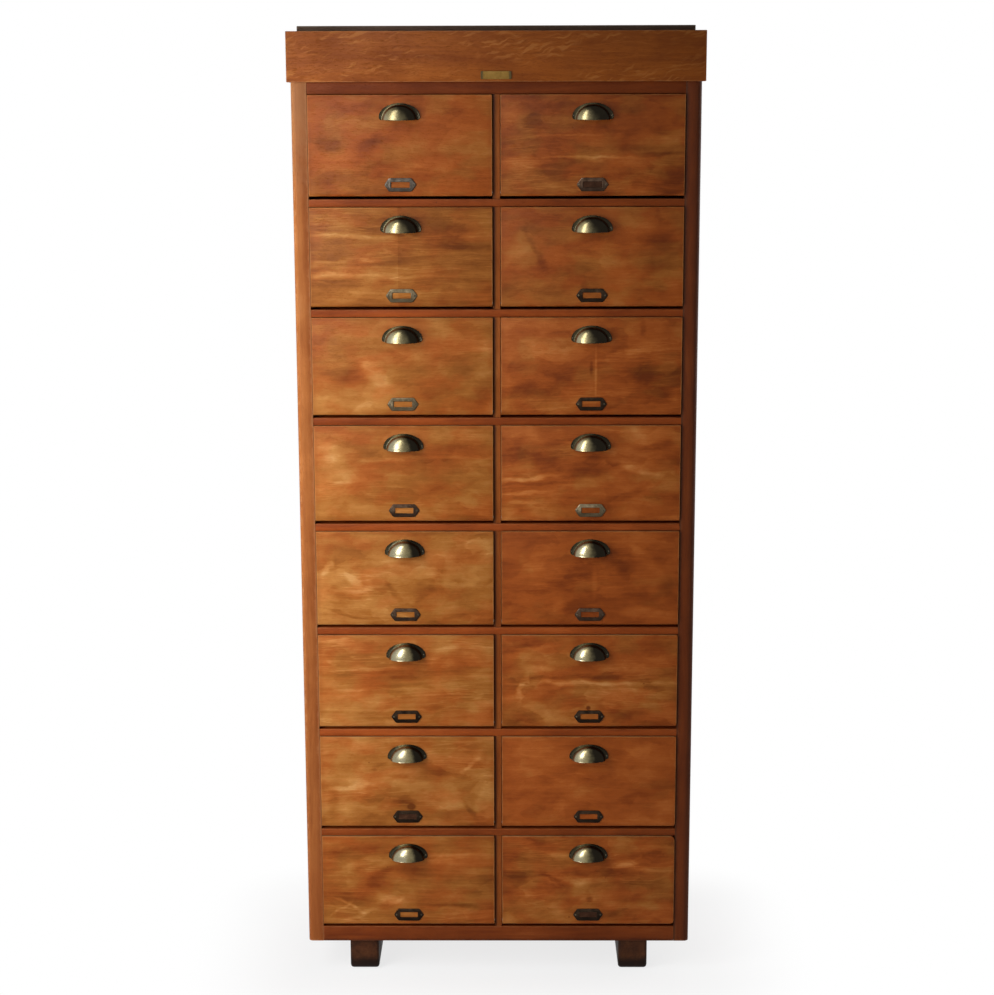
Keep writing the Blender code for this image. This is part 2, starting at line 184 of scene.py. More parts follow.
def make_wood_figure():
    """Growth figure, with Place along the grain in X: Tone lies round 0.5, and Pores marks open pores."""
    tree, given, result = new_group(
        "wood_figure",
        {
            "Place": (0, 0, 0),
            "Seed": 0.0,
            "Streaks": 0.5,
            "Bands": 0.5,
            "Clouds": 0.5,
            "Flame": 0.2,
            "Facets": 0.0,
            "Lines": 0.0,
            "Mottle": 0.0,
        },
        ("Tone", "Pores"),
    )
    shift = add(tree, "VectorMath", {0: (7.31, 3.17, 5.71), "Scale": given["Seed"]}, operation="SCALE")
    start = vector(tree, "ADD", given["Place"], shift)
    sway = calc(tree, "MULTIPLY_ADD", noise(tree, start, (2.2, 6, 6), 2), 0.05, -0.025)
    place = vector(tree, "ADD", start, add(tree, "CombineXYZ", {"Y": sway}))
    flame = calc(tree, "SINE", calc(tree, "MULTIPLY", noise(tree, place, (1.6, 7, 7), 1.5), 60.0))
    torn = calc(tree, "MULTIPLY_ADD", noise(tree, start, (30, 60, 60), 3, 0.6), 0.03, -0.015)
    broken = vector(tree, "ADD", place, add(tree, "CombineXYZ", {"X": torn, "Y": torn}))
    facets = 0.0
    for waves in ((8, 15, 15), (19, 37, 37)):
        cells = tree.nodes.new("ShaderNodeTexVoronoi")
        cells.feature = "SMOOTH_F1"
        feed(tree, cells.inputs["Vector"], vector(tree, "MULTIPLY", broken, waves))
        feed(tree, cells.inputs["Scale"], 1.0)
        feed(tree, cells.inputs["Smoothness"], 0.16)
        shade = add(tree, "SeparateColor", {0: cells.outputs["Color"]})
        facets = calc(tree, "MULTIPLY_ADD", shade, 0.5, facets)
    ridge = calc(tree, "ABSOLUTE", calc(tree, "SUBTRACT", noise(tree, place, (6, 80, 80), 2), 0.5))
    patches = step(tree, noise(tree, start, (5, 13, 13), 2), 0.45, 0.62)
    lines = calc(tree, "MULTIPLY", step(tree, ridge, 0.035, 0.004), patches)
    parts = {
        "Streaks": noise(tree, place, (9, 165, 165), 4, 0.65),
        "Bands": noise(tree, place, (1.6, 34, 34), 2),
        "Clouds": noise(tree, place, (9, 17, 17), 4, 0.5),
        "Flame": calc(tree, "MULTIPLY_ADD", flame, 0.25, 0.5),
        "Facets": facets,
        "Lines": calc(tree, "ADD", lines, 0.5),
        "Mottle": noise(tree, broken, (22, 60, 60), 4, 0.65),
    }
    tone = 0.5
    for name, part in parts.items():
        tone = calc(tree, "MULTIPLY_ADD", calc(tree, "SUBTRACT", part, 0.5), given[name], tone)
    feed(tree, result["Tone"], tone)
    feed(tree, result["Pores"], step(tree, noise(tree, place, (110, 1500, 1500), 1), 0.6, 0.72))


def make_edge_wear():
    """Wear along the arrises of a board that lies Half to each side of Middle, out to a ragged Reach."""
    tree, given, result = new_group(
        "edge_wear",
        {"Place": (0, 0, 0), "Middle": (0, 0, 0), "Half": (1, 1, 1), "Reach": 0.003, "Seed": 0.0},
        ("Wear", "Near"),
    )
    away = vector(tree, "ABSOLUTE", vector(tree, "SUBTRACT", given["Place"], given["Middle"]))
    x, y, z = split(tree, vector(tree, "SUBTRACT", given["Half"], away))
    least = calc(tree, "MINIMUM", calc(tree, "MINIMUM", x, y), z)
    most = calc(tree, "MAXIMUM", calc(tree, "MAXIMUM", x, y), z)
    total = calc(tree, "ADD", calc(tree, "ADD", x, y), z)
    gap = calc(tree, "SUBTRACT", calc(tree, "SUBTRACT", total, least), most)
    spot = vector(tree, "ADD", given["Place"], add(tree, "CombineXYZ", {"X": given["Seed"]}))
    ragged = calc(tree, "MULTIPLY_ADD", noise(tree, spot, (55, 55, 55), 4, 0.7), 3.2, -0.75)
    reach = calc(tree, "MULTIPLY", given["Reach"], calc(tree, "MAXIMUM", ragged, 0.05))
    feed(tree, result["Wear"], step(tree, gap, reach, 0.0))
    feed(tree, result["Near"], step(tree, gap, calc(tree, "MULTIPLY", given["Reach"], 6.0), 0.0))


def make_knocks():
    """Sparse small dents and spots, and the soft blotches that handling leaves."""
    tree, given, result = new_group("knocks", {"Place": (0, 0, 0), "Seed": 0.0}, ("Dents", "Blotches"))
    spot = vector(tree, "ADD", given["Place"], add(tree, "CombineXYZ", {"Z": given["Seed"]}))
    cells = tree.nodes.new("ShaderNodeTexVoronoi")
    feed(tree, cells.inputs["Vector"], spot)
    feed(tree, cells.inputs["Scale"], 24.0)
    pick = add(tree, "SeparateColor", {0: cells.outputs["Color"]})
    size = calc(tree, "MULTIPLY", step(tree, pick, 0.55, 1.0), 0.065)
    dents = step(tree, cells.outputs["Distance"], size, calc(tree, "MULTIPLY", size, 0.4))
    feed(tree, result["Dents"], dents)
    feed(tree, result["Blotches"], step(tree, noise(tree, spot, (7, 7, 7), 3, 0.55), 0.42, 0.68))


def make_painted_shading():
    """Painted light and shade along Axis from Start to End, with a Ragged border, before the Y of Front."""
    tree, given, result = new_group(
        "painted_shading",
        {
            "Place": (0, 0, 0),
            "Axis": (0, 0, 1),
            "Start": 0.0,
            "End": 1.0,
            "Deepest": 0.5,
            "Ragged": 0.0,
            "Front": 9.0,
        },
        ("Share",),
    )
    wave = calc(tree, "SUBTRACT", noise(tree, given["Place"], (22, 22, 22), 4, 0.6), 0.5)
    along = measure(tree, "DOT_PRODUCT", given["Place"], given["Axis"])
    where = calc(tree, "MULTIPLY_ADD", wave, given["Ragged"], along)
    deep = calc(tree, "MULTIPLY", step(tree, where, given["Start"], given["End"]), given["Deepest"])
    behind = calc(tree, "ADD", given["Front"], 0.008)
    before = step(tree, split(tree, given["Place"])[1], behind, given["Front"])
    feed(tree, result["Share"], calc(tree, "MULTIPLY", deep, before))


make_wood_figure()
make_edge_wear()
make_knocks()
make_painted_shading()


def grain_place(tree, along):
    """The point in the piece's own frame, and the same with its first axis along the grain."""
    place = own_place(tree)
    parts = split(tree, place)
    order = {"X": (0, 2, 1), "Y": (1, 0, 2), "Z": (2, 0, 1)}[along]
    return place, add(tree, "CombineXYZ", {i: parts[axis] for i, axis in enumerate(order)})


def new_material(name, roughness, specular):
    """A material, its tree and its shader's sockets."""
    material = bpy.data.materials.new(name)
    material.use_nodes = True
    shader = material.node_tree.nodes["Principled BSDF"].inputs
    shader["Roughness"].default_value = roughness
    shader["Specular IOR Level"].default_value = specular
    return material, material.node_tree, shader


def raise_surface(tree, shader, height, depth, strength=1.0):
    """Bump of a real depth in metres."""
    bump = add(tree, "Bump", {"Strength": strength, "Distance": depth, "Height": height})
    feed(tree, shader["Normal"], bump)


def stained_wood(name, along, box, seed, stain, rubbed, figure, reach=0.003, roughness=0.5):
    """Solid wood under old stain and thin varnish: grain, pores, dents, handling marks, rubbed arrises."""
    material, tree, shader = new_material(name, roughness, WOOD_GLOSS)
    low, high = box
    place, grain = grain_place(tree, along)
    wood = use(tree, "wood_figure", {"Place": grain, "Seed": seed, **figure})
    extent = {"Middle": (low + high) / 2, "Half": (high - low) / 2, "Reach": reach}
    edge = use(tree, "edge_wear", {"Place": place, "Seed": seed, **extent})
    marks = use(tree, "knocks", {"Place": place, "Seed": seed})
    dark = calc(tree, "MULTIPLY", wood["Pores"], 0.45)
    dark = calc(tree, "MAXIMUM", dark, calc(tree, "MULTIPLY", marks["Dents"], 0.7))
    dark = calc(tree, "MAXIMUM", dark, calc(tree, "MULTIPLY", marks["Blotches"], 0.22))
    colour = blend(tree, dark, shades(tree, wood["Tone"], stain), stain[0])
    colour = blend(tree, calc(tree, "MULTIPLY", edge["Wear"], 0.55), colour, rubbed)
    feed(tree, shader["Base Color"], colour)
    dull = calc(tree, "MULTIPLY_ADD", marks["Blotches"], 0.12, roughness - 0.06)
    feed(tree, shader["Roughness"], calc(tree, "MULTIPLY_ADD", wood["Pores"], 0.2, dull))
    height = calc(tree, "MULTIPLY_ADD", wood["Pores"], -0.5, wood["Tone"])
    raise_surface(tree, shader, calc(tree, "MULTIPLY_ADD", marks["Dents"], -1.0, height), GRAIN_DEPTH)
    return material


def lay_over(material, share, colour):
    """Lays a share of a colour over the one that a material has."""
    socket = material.node_tree.nodes["Principled BSDF"].inputs["Base Color"]
    feed(material.node_tree, socket, blend(material.node_tree, share, socket.links[0].from_socket, colour))


def shade_side(material, axis, start, end, colour, deepest, ragged=0.0, front=9.0):
    """Paints light or shade on a piece, in a colour that grows from one place along an axis to another.

    Only the surface before the Y of front is shaded, which is all of it unless front is given.
    """
    tree = material.node_tree
    painted_shading = {
        "Place": own_place(tree),
        "Axis": [float(letter == axis) for letter in "XYZ"],
        "Start": start,
        "End": end,
        "Deepest": deepest,
        "Ragged": ragged,
        "Front": front,
    }
    lay_over(material, use(tree, "painted_shading", painted_shading)["Share"], colour)


def finished_mesh(bm, name, angle=None):
    """A smooth mesh from an edit mesh, with crisp edges where faces meet at more than angle degrees."""
    mesh = bpy.data.meshes.new(name)
    bm.to_mesh(mesh)
    bm.free()
    mesh.shade_smooth()
    if angle:
        mesh.set_sharp_from_angle(angle=math.radians(angle))
    return mesh


def eased_mesh(name, node, ease):
    """A CAD node's solid with its long outer arrises rounded off, as a plane and years of use do."""
    bm = bmesh.new()
    bm.from_mesh(frame["nodes"][node].data)
    bmesh.ops.remove_doubles(bm, verts=bm.verts, dist=1e-5)
    bmesh.ops.dissolve_limit(bm, angle_limit=math.radians(1), verts=bm.verts, edges=bm.edges)
    arrises = [
        edge
        for edge in bm.edges
        if edge.is_convex and edge.calc_length() > LEAST_ARRIS and edge.calc_face_angle() > math.radians(50)
    ]
    bmesh.ops.bevel(
        bm, geom=arrises, offset=ease, segments=3, profile=0.5, affect="EDGES", clamp_overlap=True
    )
    return finished_mesh(bm, name, SOFT_ANGLE)


def add_piece(name, mesh, body, nodes=(), location=(0, 0, 0)):
    """Puts a piece in its place on its CAD body."""
    piece = bpy.data.objects.new(name, mesh)
    piece.location = location
    bpy.context.scene.collection.objects.link(piece)
    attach(piece, body)
    if nodes:
        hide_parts(*nodes)
    return piece


for seed, side in enumerate(("left", "right"), 1):
    mesh = eased_mesh(f"runner_{side}", f"{side}_runner", RUNNER_EASE)
    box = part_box(f"{side}_runner")
    looks = (RUNNER_STAIN, RUNNER_GRIME_AND_SHADE, RUNNER_FIGURE, RUNNER_WEAR, RUNNER_ROUGHNESS)
    material = stained_wood(f"dark_stain_{side}", "Y", box, seed, *looks)
    for painted_shading in RUNNER_PAINTED_SHADE:
        shade_side(material, *painted_shading)
    mesh.materials.append(material)
    add_piece(f"runner_{side}", mesh, "case", [f"{side}_runner"])

# Case
# The case is glued up from red-brown stained boards: posts, sides, shelves that run through between the
# posts, a partition halved over them, and rails. Every arris has been planed off a little and then rubbed
# by hands.

CASE_EASE = 0.001
CASE_STAIN = [(0.095, 0.018, 0.004), (0.17, 0.033, 0.0055), (0.245, 0.051, 0.0085), (0.335, 0.083, 0.017)]
CASE_RUBBED = (0.35, 0.115, 0.038)
CASE_FIGURE = {"Streaks": 0.45, "Bands": 0.5, "Clouds": 0.6, "Flame": 0.1}
SIDE_FIGURE = {"Streaks": 0.7, "Bands": 0.6, "Clouds": 0.45, "Flame": 0.35, "Lines": 0.1}
CASE_WEAR = 0.003
POST_WEAR = 0.0065
SHELVES = [f"shelf_{row}" for row in range(1, 8)]
CASE_GRAIN = {
    "left_front_post": "Z",
    "right_front_post": "Z",
    "left_side": "Z",
    "right_side": "Z",
    "centre_partition": "Z",
    "top_board": "X",
    "bottom_board": "X",
    "bottom_rail": "X",
    "upper_rail": "X",
    "rear_bottom_rail": "X",
}
CASE_GRAIN.update({shelf: "X" for shelf in SHELVES})
# How much lighter or darker each piece's stain is; the top board's darker stain is painted shade under the
# frieze, and the right post's is painted shade on the side away from the light.
STAIN_TONE_AND_SHADE = {"right_front_post": 0.94, "top_board": 0.78, "bottom_rail": 0.84, "shelf_1": 1.1, "shelf_7": 0.95}
STAIN_TONE_AND_SHADE.update({shelf: 1.32 for shelf in SHELVES[1:6]})
# The left post's stain is a lit copy of the case stain, painted lighter for the light falling on that side;
# the partition's is a lighter, more golden stain.
LIT_POST_AND_PARTITION_STAINS = {
    "left_front_post": [
        (0.17, 0.042, 0.009),
        (0.29, 0.085, 0.02),
        (0.40, 0.135, 0.034),
        (0.53, 0.22, 0.075),
    ],
    "centre_partition": [
        (0.13, 0.027, 0.005),
        (0.22, 0.053, 0.009),
        (0.31, 0.085, 0.016),
        (0.42, 0.135, 0.033),
    ],
}
# The left post's pale arrises are wear and a painted highlight along its rounded outer arris.
LIT_POST_RUBBED = (0.58, 0.31, 0.14)
# A near-black colour for painted shade.
PAINTED_SHADE_STAIN = (0.02, 0.008, 0.005)
# Painted light and shade on some pieces: the shadows that the proud flaps cast on the partition and beside
# the right post, the right post's front and outer rounding turned from the light, and the bottom rail's lower
# edge; on the left post a darker inner strip, a redder foot and a painted highlight at the top.
SHADED = {
    "centre_partition": [("X", -0.001, -0.006, PAINTED_SHADE_STAIN, 0.7)],
    "right_front_post": [
        ("Y", -0.170, -0.181, PAINTED_SHADE_STAIN, 0.36),
        ("X", 0.414, 0.431, PAINTED_SHADE_STAIN, 0.5, 0.0, -0.178),
        ("X", 0.4065, 0.4025, PAINTED_SHADE_STAIN, 0.6, 0.002),
    ],
    "left_front_post": [
        ("X", -0.417, -0.404, (0.20, 0.05, 0.012), 0.5, 0.014),
        ("Z", 0.50, 0.12, (0.27, 0.072, 0.017), 0.55, 0.3),
        ("Z", 1.72, 1.98, (0.36, 0.17, 0.075), 0.5, 0.3),
    ],
    "bottom_rail": [("Z", 0.084, 0.075, PAINTED_SHADE_STAIN, 0.6, 0.006)],
}


for seed, (node, along) in enumerate(CASE_GRAIN.items(), 11):
    mesh = eased_mesh(f"{node}_wood", node, CASE_EASE)
    toned_stain = [tuple(STAIN_TONE_AND_SHADE.get(node, 1.0) * part for part in colour) for colour in CASE_STAIN]
    stain = LIT_POST_AND_PARTITION_STAINS.get(node, toned_stain)
    rubbed = LIT_POST_RUBBED if node == "left_front_post" else CASE_RUBBED
    figure = SIDE_FIGURE if node.endswith("side") else CASE_FIGURE
    wear = POST_WEAR if node.endswith("post") else CASE_WEAR
    material = stained_wood(f"{node}_stain", along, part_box(node), seed, stain, rubbed, figure, wear)
    for shade in SHADED.get(node, ()):
        shade_side(material, *shade)
    mesh.materials.append(material)
    add_piece(f"{node}_wood", mesh, "case", [node])

# Back panel
# A sheet of bare plywood closes the back. It is nailed to the sides, shelves and rails, and years against a
# wall have left it dull, dusty and a little stained, and its nails rusty.

BACK_EASE = 0.0008
BACK_WEAR = 0.003
BACK_ROUGHNESS = 0.72
BACK_PLY = [(0.20, 0.105, 0.05), (0.29, 0.165, 0.08), (0.36, 0.22, 0.115), (0.44, 0.29, 0.16)]
BACK_RUBBED = (0.47, 0.33, 0.2)
BACK_FIGURE = {"Streaks": 0.8, "Bands": 0.5, "Clouds": 0.3, "Flame": 0.55, "Lines": 0.1}
NAIL_RADIUS = 0.0032
NAIL_HEIGHT = 0.0005
NAIL_EDGE = 0.011
NAIL_SPACING = 0.14
NAIL_STRAY = 0.004
NAIL_RUST = [(0.02, 0.012, 0.009), (0.055, 0.03, 0.02), (0.10, 0.06, 0.042), (0.18, 0.12, 0.09)]
NAIL_ROUGHNESS = 0.5
HEAD_POINTS = 24
HEAD_RINGS = 5
SCRATCH_DEPTH = 0.0001

mesh = eased_mesh("back_sheet", "back_panel", BACK_EASE)
looks = (BACK_PLY, BACK_RUBBED, BACK_FIGURE, BACK_WEAR, BACK_ROUGHNESS)
mesh.materials.append(stained_wood("bare_ply", "Z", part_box("back_panel"), 41, *looks))
add_piece("back_sheet", mesh, "case", ["back_panel"])


def make_patina():
    """Tarnish on old metal: cloudy tones, fine rubbing scratches and small dark spots."""
    tree, given, result = new_group(
        "patina", {"Place": (0, 0, 0), "Seed": 0.0}, ("Tone", "Scratches", "Spots")
    )
    spot = vector(tree, "ADD", given["Place"], add(tree, "CombineXYZ", {"X": given["Seed"]}))
    feed(tree, result["Tone"], noise(tree, spot, (60, 60, 60), 4, 0.6))
    feed(tree, result["Scratches"], noise(tree, spot, (180, 900, 1400), 2, 0.6))
    feed(tree, result["Spots"], step(tree, noise(tree, spot, (420, 420, 420), 2), 0.66, 0.75))


make_patina()


def old_metal(name, seed, colours, roughness=0.32, bias=0.0, mottle=1.0):
    """Metal under tarnish, brighter where it is rubbed; bias lightens it, and mottle makes it cloudy."""
    material, tree, shader = new_material(name, roughness, 0.5)
    shader["Metallic"].default_value = 1.0
    skin = use(tree, "patina", {"Place": own_place(tree), "Seed": seed})
    cloud = calc(tree, "MULTIPLY_ADD", calc(tree, "SUBTRACT", skin["Tone"], 0.5), mottle, 0.5 + bias)
    tone = calc(tree, "MULTIPLY_ADD", calc(tree, "SUBTRACT", skin["Scratches"], 0.5), 0.25 * mottle, cloud)
    colour = shades(tree, tone, colours, 0.25, 0.8)
    spots = calc(tree, "MULTIPLY", skin["Spots"], 0.7)
    feed(tree, shader["Base Color"], blend(tree, spots, colour, colours[0]))
    rough = calc(tree, "MULTIPLY_ADD", skin["Tone"], -0.3, roughness + 0.15)
    feed(tree, shader["Roughness"], calc(tree, "MULTIPLY_ADD", skin["Spots"], 0.2, rough))
    raise_surface(tree, shader, skin["Scratches"], SCRATCH_DEPTH, 0.5)
    return material


def arc(centre, radius, start, end, steps):
    """Points of an arc, angles in degrees."""
    turns = [math.radians(start + (end - start) * i / steps) for i in range(steps + 1)]
    return [(centre[0] + radius * math.cos(t), centre[1] + radius * math.sin(t)) for t in turns]


def circle(centre, radius, points):
    """Points all round a circle."""
    return arc(centre, radius, 0, 360, points)[:-1]


def bridge(bm, rings, closed_loop=True):
    """Quads between rings that follow each other."""
    faces = []
    for ring, following in zip(rings, rings[1:]):
        count = len(ring)
        for i in range(count if closed_loop else count - 1):
            j = (i + 1) % count
            faces.append(bm.faces.new((ring[i], ring[j], following[j], following[i])))
    return faces


def domed_head(bm, centre, radius, height, slot=0):
    """A nail's, pin's or screw's domed head that stands out towards -Y, in a material slot."""
    x0, y0, z0 = centre
    rings = []
    for i in range(HEAD_RINGS):
        lift = math.pi / 2 * i / HEAD_RINGS
        points = circle((x0, z0), radius * math.cos(lift), HEAD_POINTS)
        rings.append([bm.verts.new((x, y0 - height * math.sin(lift), z)) for x, z in points])
    foot = [bm.verts.new((v.co.x, y0 + height, v.co.z)) for v in rings[0]]
    crown = bm.verts.new((x0, y0 - height, z0))
    faces = [bm.faces.new(foot), *bridge(bm, [foot, *rings])]
    for i in range(HEAD_POINTS):
        faces.append(bm.faces.new((rings[-1][i], rings[-1][(i + 1) % HEAD_POINTS], crown)))
    for face in faces:
        face.material_index = slot


low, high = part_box("back_panel")
reach = high.x - NAIL_EDGE
tall = high.z - low.z
across = round(2 * reach / NAIL_SPACING)
rise = round(tall / NAIL_SPACING)
levels = [low.z + NAIL_EDGE, high.z - NAIL_EDGE]
for shelf in SHELVES:
    under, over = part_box(shelf)
    levels.append((under.z + over.z) / 2)
places = [(-reach + 2 * reach * i / across, z) for z in levels for i in range(across + 1)]
for side in (-1, 1):
    places += [(side * reach, low.z + tall * (i + 0.5) / rise) for i in range(rise)]
chance = random.Random(41)
bm = bmesh.new()
for x, z in places:
    x += chance.uniform(-NAIL_STRAY, NAIL_STRAY)
    z += chance.uniform(-NAIL_STRAY, NAIL_STRAY)
    domed_head(bm, (x, -high.y, z), NAIL_RADIUS, NAIL_HEIGHT)
bmesh.ops.recalc_face_normals(bm, faces=bm.faces)
bm.transform(Matrix.Rotation(math.pi, 4, "Z"))
mesh = finished_mesh(bm, "back_nails")
mesh.materials.append(old_metal("nail_rust", 42, NAIL_RUST, NAIL_ROUGHNESS))
add_piece("back_nails", mesh, "case")

# Frieze and cap
# Oak boards wrap the top of the case, proud of it at the front and sides, glued and pinned on. They are cut
# on the quarter, so pale ray flecks run across them. A thin dusty cap board lies on the top.

FRIEZE_EASE = 0.0012
FRIEZE_GRAIN = {"frieze_front": "X", "frieze_left": "Y", "frieze_right": "Y"}
OAK_STAIN = [(0.13, 0.03, 0.005), (0.22, 0.053, 0.0075), (0.295, 0.079, 0.011), (0.39, 0.118, 0.022)]
OAK_RUBBED = (0.42, 0.18, 0.07)
OAK_FLECK = (0.50, 0.19, 0.045)
FLECK_STRENGTH = 0.42
OAK_FIGURE = {"Streaks": 0.5, "Bands": 0.4, "Clouds": 0.6, "Flame": 0.1, "Lines": 0.1}
CAP_STAIN = [(0.03, 0.018, 0.012), (0.06, 0.035, 0.022), (0.085, 0.05, 0.032), (0.13, 0.085, 0.058)]
CAP_RUBBED = (0.16, 0.11, 0.075)
CAP_WEAR = 0.004
CAP_ROUGHNESS = 0.65


def make_ray_flecks():
    """Short pale dashes that cross the grain at a slant, in loose patches."""
    tree, given, result = new_group("ray_flecks", {"Place": (0, 0, 0), "Seed": 0.0}, ("Flecks",))
    spot = vector(tree, "ADD", given["Place"], add(tree, "CombineXYZ", {"Y": given["Seed"]}))
    wave = calc(tree, "MULTIPLY_ADD", noise(tree, spot, (30, 30, 30), 2), 0.03, -0.015)
    bent = vector(tree, "ADD", spot, add(tree, "CombineXYZ", {"Y": wave}))
    slant = add(tree, "VectorRotate", {"Vector": bent, "Angle": -0.24}, rotation_type="Z_AXIS")
    dashes = step(tree, noise(tree, slant, (30, 170, 170), 2), 0.5, 0.68)
    patches = step(tree, noise(tree, spot, (8, 17, 17), 2), 0.36, 0.58)
    feed(tree, result["Flecks"], calc(tree, "MULTIPLY", dashes, patches))


make_ray_flecks()


for seed, (node, along) in enumerate(FRIEZE_GRAIN.items(), 51):
    mesh = eased_mesh(f"{node}_oak", node, FRIEZE_EASE)
    material = stained_wood(f"{node}_flecked", along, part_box(node), seed, OAK_STAIN, OAK_RUBBED, OAK_FIGURE)
    tree = material.node_tree
    flecks = use(tree, "ray_flecks", {"Place": grain_place(tree, along)[1], "Seed": seed})["Flecks"]
    lay_over(material, calc(tree, "MULTIPLY", flecks, FLECK_STRENGTH), OAK_FLECK)
    mesh.materials.append(material)
    add_piece(f"{node}_oak", mesh, "case", [node])
mesh = eased_mesh("cap_sheet", "cap_board", FRIEZE_EASE)
looks = (CAP_STAIN, CAP_RUBBED, CASE_FIGURE, CAP_WEAR, CAP_ROUGHNESS)
mesh.materials.append(stained_wood("dusty_cap", "X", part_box("cap_board"), 55, *looks))
add_piece("cap_sheet", mesh, "case", ["cap_board"])

# Bare plate
# A small brass plate is pinned to the middle of the frieze near its lower edge. It is left blank, and it is
# darker towards its two ends.

PLATE_CORNER = 0.002
PLATE_EASE = 0.0004
PLATE_PIN = 0.0016
PLATE_PIN_HEIGHT = 0.0006
PLATE_PIN_INSET = 0.006
PLATE_DARK_FROM = 0.0062
PLATE_DARK_TO = 0.0035
PLATE_BRASS = [(0.048, 0.024, 0.006), (0.10, 0.056, 0.013), (0.165, 0.094, 0.024), (0.26, 0.155, 0.05)]
BRASS = [(0.045, 0.034, 0.017), (0.13, 0.10, 0.048), (0.25, 0.195, 0.095), (0.40, 0.32, 0.165)]


def stamped_plate(name, outline, thickness, ease):
    """A metal plate stamped to its outline in X and Z, with eased edges."""
    curve = bpy.data.curves.new(name, "CURVE")
    curve.dimensions = "2D"
    curve.fill_mode = "BOTH"
    curve.extrude = thickness / 2 - ease
    curve.bevel_depth = ease
    curve.bevel_resolution = 2
    spline = curve.splines.new("POLY")
    spline.points.add(len(outline) - 1)
    spline.use_cyclic_u = True
    for point, (x, z) in zip(spline.points, outline):
        point.co = (x, z, 0, 1)
    maker = bpy.data.objects.new(name, curve)
    bpy.context.scene.collection.objects.link(maker)
    bpy.context.view_layer.update()
    mesh = bpy.data.meshes.new_from_object(maker.evaluated_get(bpy.context.evaluated_depsgraph_get()))
    bpy.data.objects.remove(maker)
    mesh.transform(Matrix.Translation((0, -thickness / 2, 0)) @ Matrix.Rotation(math.pi / 2, 4, "X"))
    return mesh


def round_cornered(half_width, half_height, radius, steps=4):
    """A rectangle with rounded corners."""
    points = []
    for corner, (across, up) in enumerate(((1, 1), (-1, 1), (-1, -1), (1, -1))):
        centre = (across * (half_width - radius), up * (half_height - radius))
        points += arc(centre, radius, 90 * corner, 90 * corner + 90, steps)
    return points


low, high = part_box("blank_plate")
half = (high - low) / 2
mesh = stamped_plate("bare_plate", round_cornered(half.x, half.z, PLATE_CORNER), 2 * half.y, PLATE_EASE)
bm = bmesh.new()
bm.from_mesh(mesh)
for side in (-1, 1):
    domed_head(bm, (side * (half.x - PLATE_PIN_INSET), -2 * half.y, 0), PLATE_PIN, PLATE_PIN_HEIGHT, 1)
bmesh.ops.recalc_face_normals(bm, faces=bm.faces)
bm.to_mesh(mesh)
bm.free()
mesh.materials.clear()
material = old_metal("plate_brass", 61, PLATE_BRASS, 0.4, 0.05, 0.6)
tree = material.node_tree
outward = calc(tree, "ABSOLUTE", split(tree, own_place(tree))[0])
ends = step(tree, outward, half.x - PLATE_DARK_FROM, half.x - PLATE_DARK_TO)
lay_over(material, calc(tree, "MULTIPLY", ends, 0.85), BRASS[0])
mesh.materials.append(material)
mesh.materials.append(old_metal("plate_pins", 62, BRASS, bias=-0.25))
seat = ((low.x + high.x) / 2, high.y, (low.z + high.z) / 2)
add_piece("bare_plate", mesh, "case", ["blank_plate"], seat)

# Flap panels
# Each flap is a veneered board, its lower front arris rounded so that it clears the shelf as it drops. A
# steel pin at each lower corner turns in a bore of the post or partition. Every leaf of veneer has its own
# figure and tone.

FLAP_WIDTH = 0.391
FLAP_HEIGHT = 0.2125
FLAP_THICKNESS = 0.018
PIVOT_BACK = 0.011
PIVOT_UP = 0.0077
LOWER_ROUND = 0.006
FACE_EASE = 0.0014
CORNER_EASE = 0.0012
CORNER_STEPS = 6
PIN_RADIUS = 0.0025
PIN_LENGTH = 0.0105
PIN_POINTS = 20
PIN_TAPER = ((0.0, 1.0), (0.85, 1.0), (0.95, 0.85), (1.0, 0.5))
EDGE_SLOT, BACK_SLOT, PIN_SLOT = 1, 2, 3
WORN_CORNERS = {
    "flap_8_right": (0.010, 0.005),
    "flap_7_right": (0.002, 0.005),
    "flap_6_right": (0.002, 0.004),
}
VENEER_RED = [
    (0.125, 0.024, 0.003),
    (0.22, 0.0455, 0.0058),
    (0.32, 0.074, 0.0108),
    (0.42, 0.117, 0.0215),
    (0.52, 0.19, 0.048),
]
VENEER_GOLD = [
    (0.13, 0.034, 0.004),
    (0.225, 0.067, 0.0095),
    (0.325, 0.112, 0.019),
    (0.43, 0.175, 0.04),
    (0.56, 0.275, 0.09),
]
VENEER_RUBBED = (0.50, 0.22, 0.07)
VENEER_ROUGHNESS = 0.42
VENEER_WEAR = 0.0025
VENEER_DEPTH = 0.0003
SEAM_HALF = 0.0004
PLY_EDGE = [(0.16, 0.06, 0.022), (0.25, 0.11, 0.042), (0.34, 0.165, 0.07), (0.42, 0.23, 0.11)]
PLY_FIGURE = {"Streaks": 1.0, "Bands": 0.6, "Clouds": 0.2}
INNER_PLY = [(0.17, 0.052, 0.014), (0.27, 0.095, 0.027), (0.36, 0.145, 0.045), (0.45, 0.205, 0.075)]
INNER_FIGURE = {"Streaks": 0.8, "Bands": 0.5, "Clouds": 0.4, "Flame": 0.25, "Lines": 0.1}
PIN_STEEL = [(0.05, 0.047, 0.044), (0.14, 0.135, 0.13), (0.26, 0.255, 0.25), (0.42, 0.41, 0.40)]
LEAF_FIGURE = {
    "Streaks": 0.28,
    "Bands": 0.25,
    "Clouds": 0.7,
    "Flame": 0.1,
    "Facets": 0.3,
    "Lines": 0.12,
    "Mottle": 0.42,
}
STREAKED = {
    "Streaks": 0.4,
    "Bands": 0.6,
    "Clouds": 0.5,
    "Flame": 0.12,
    "Facets": 0.2,
    "Lines": 0.14,
    "Mottle": 0.32,
}
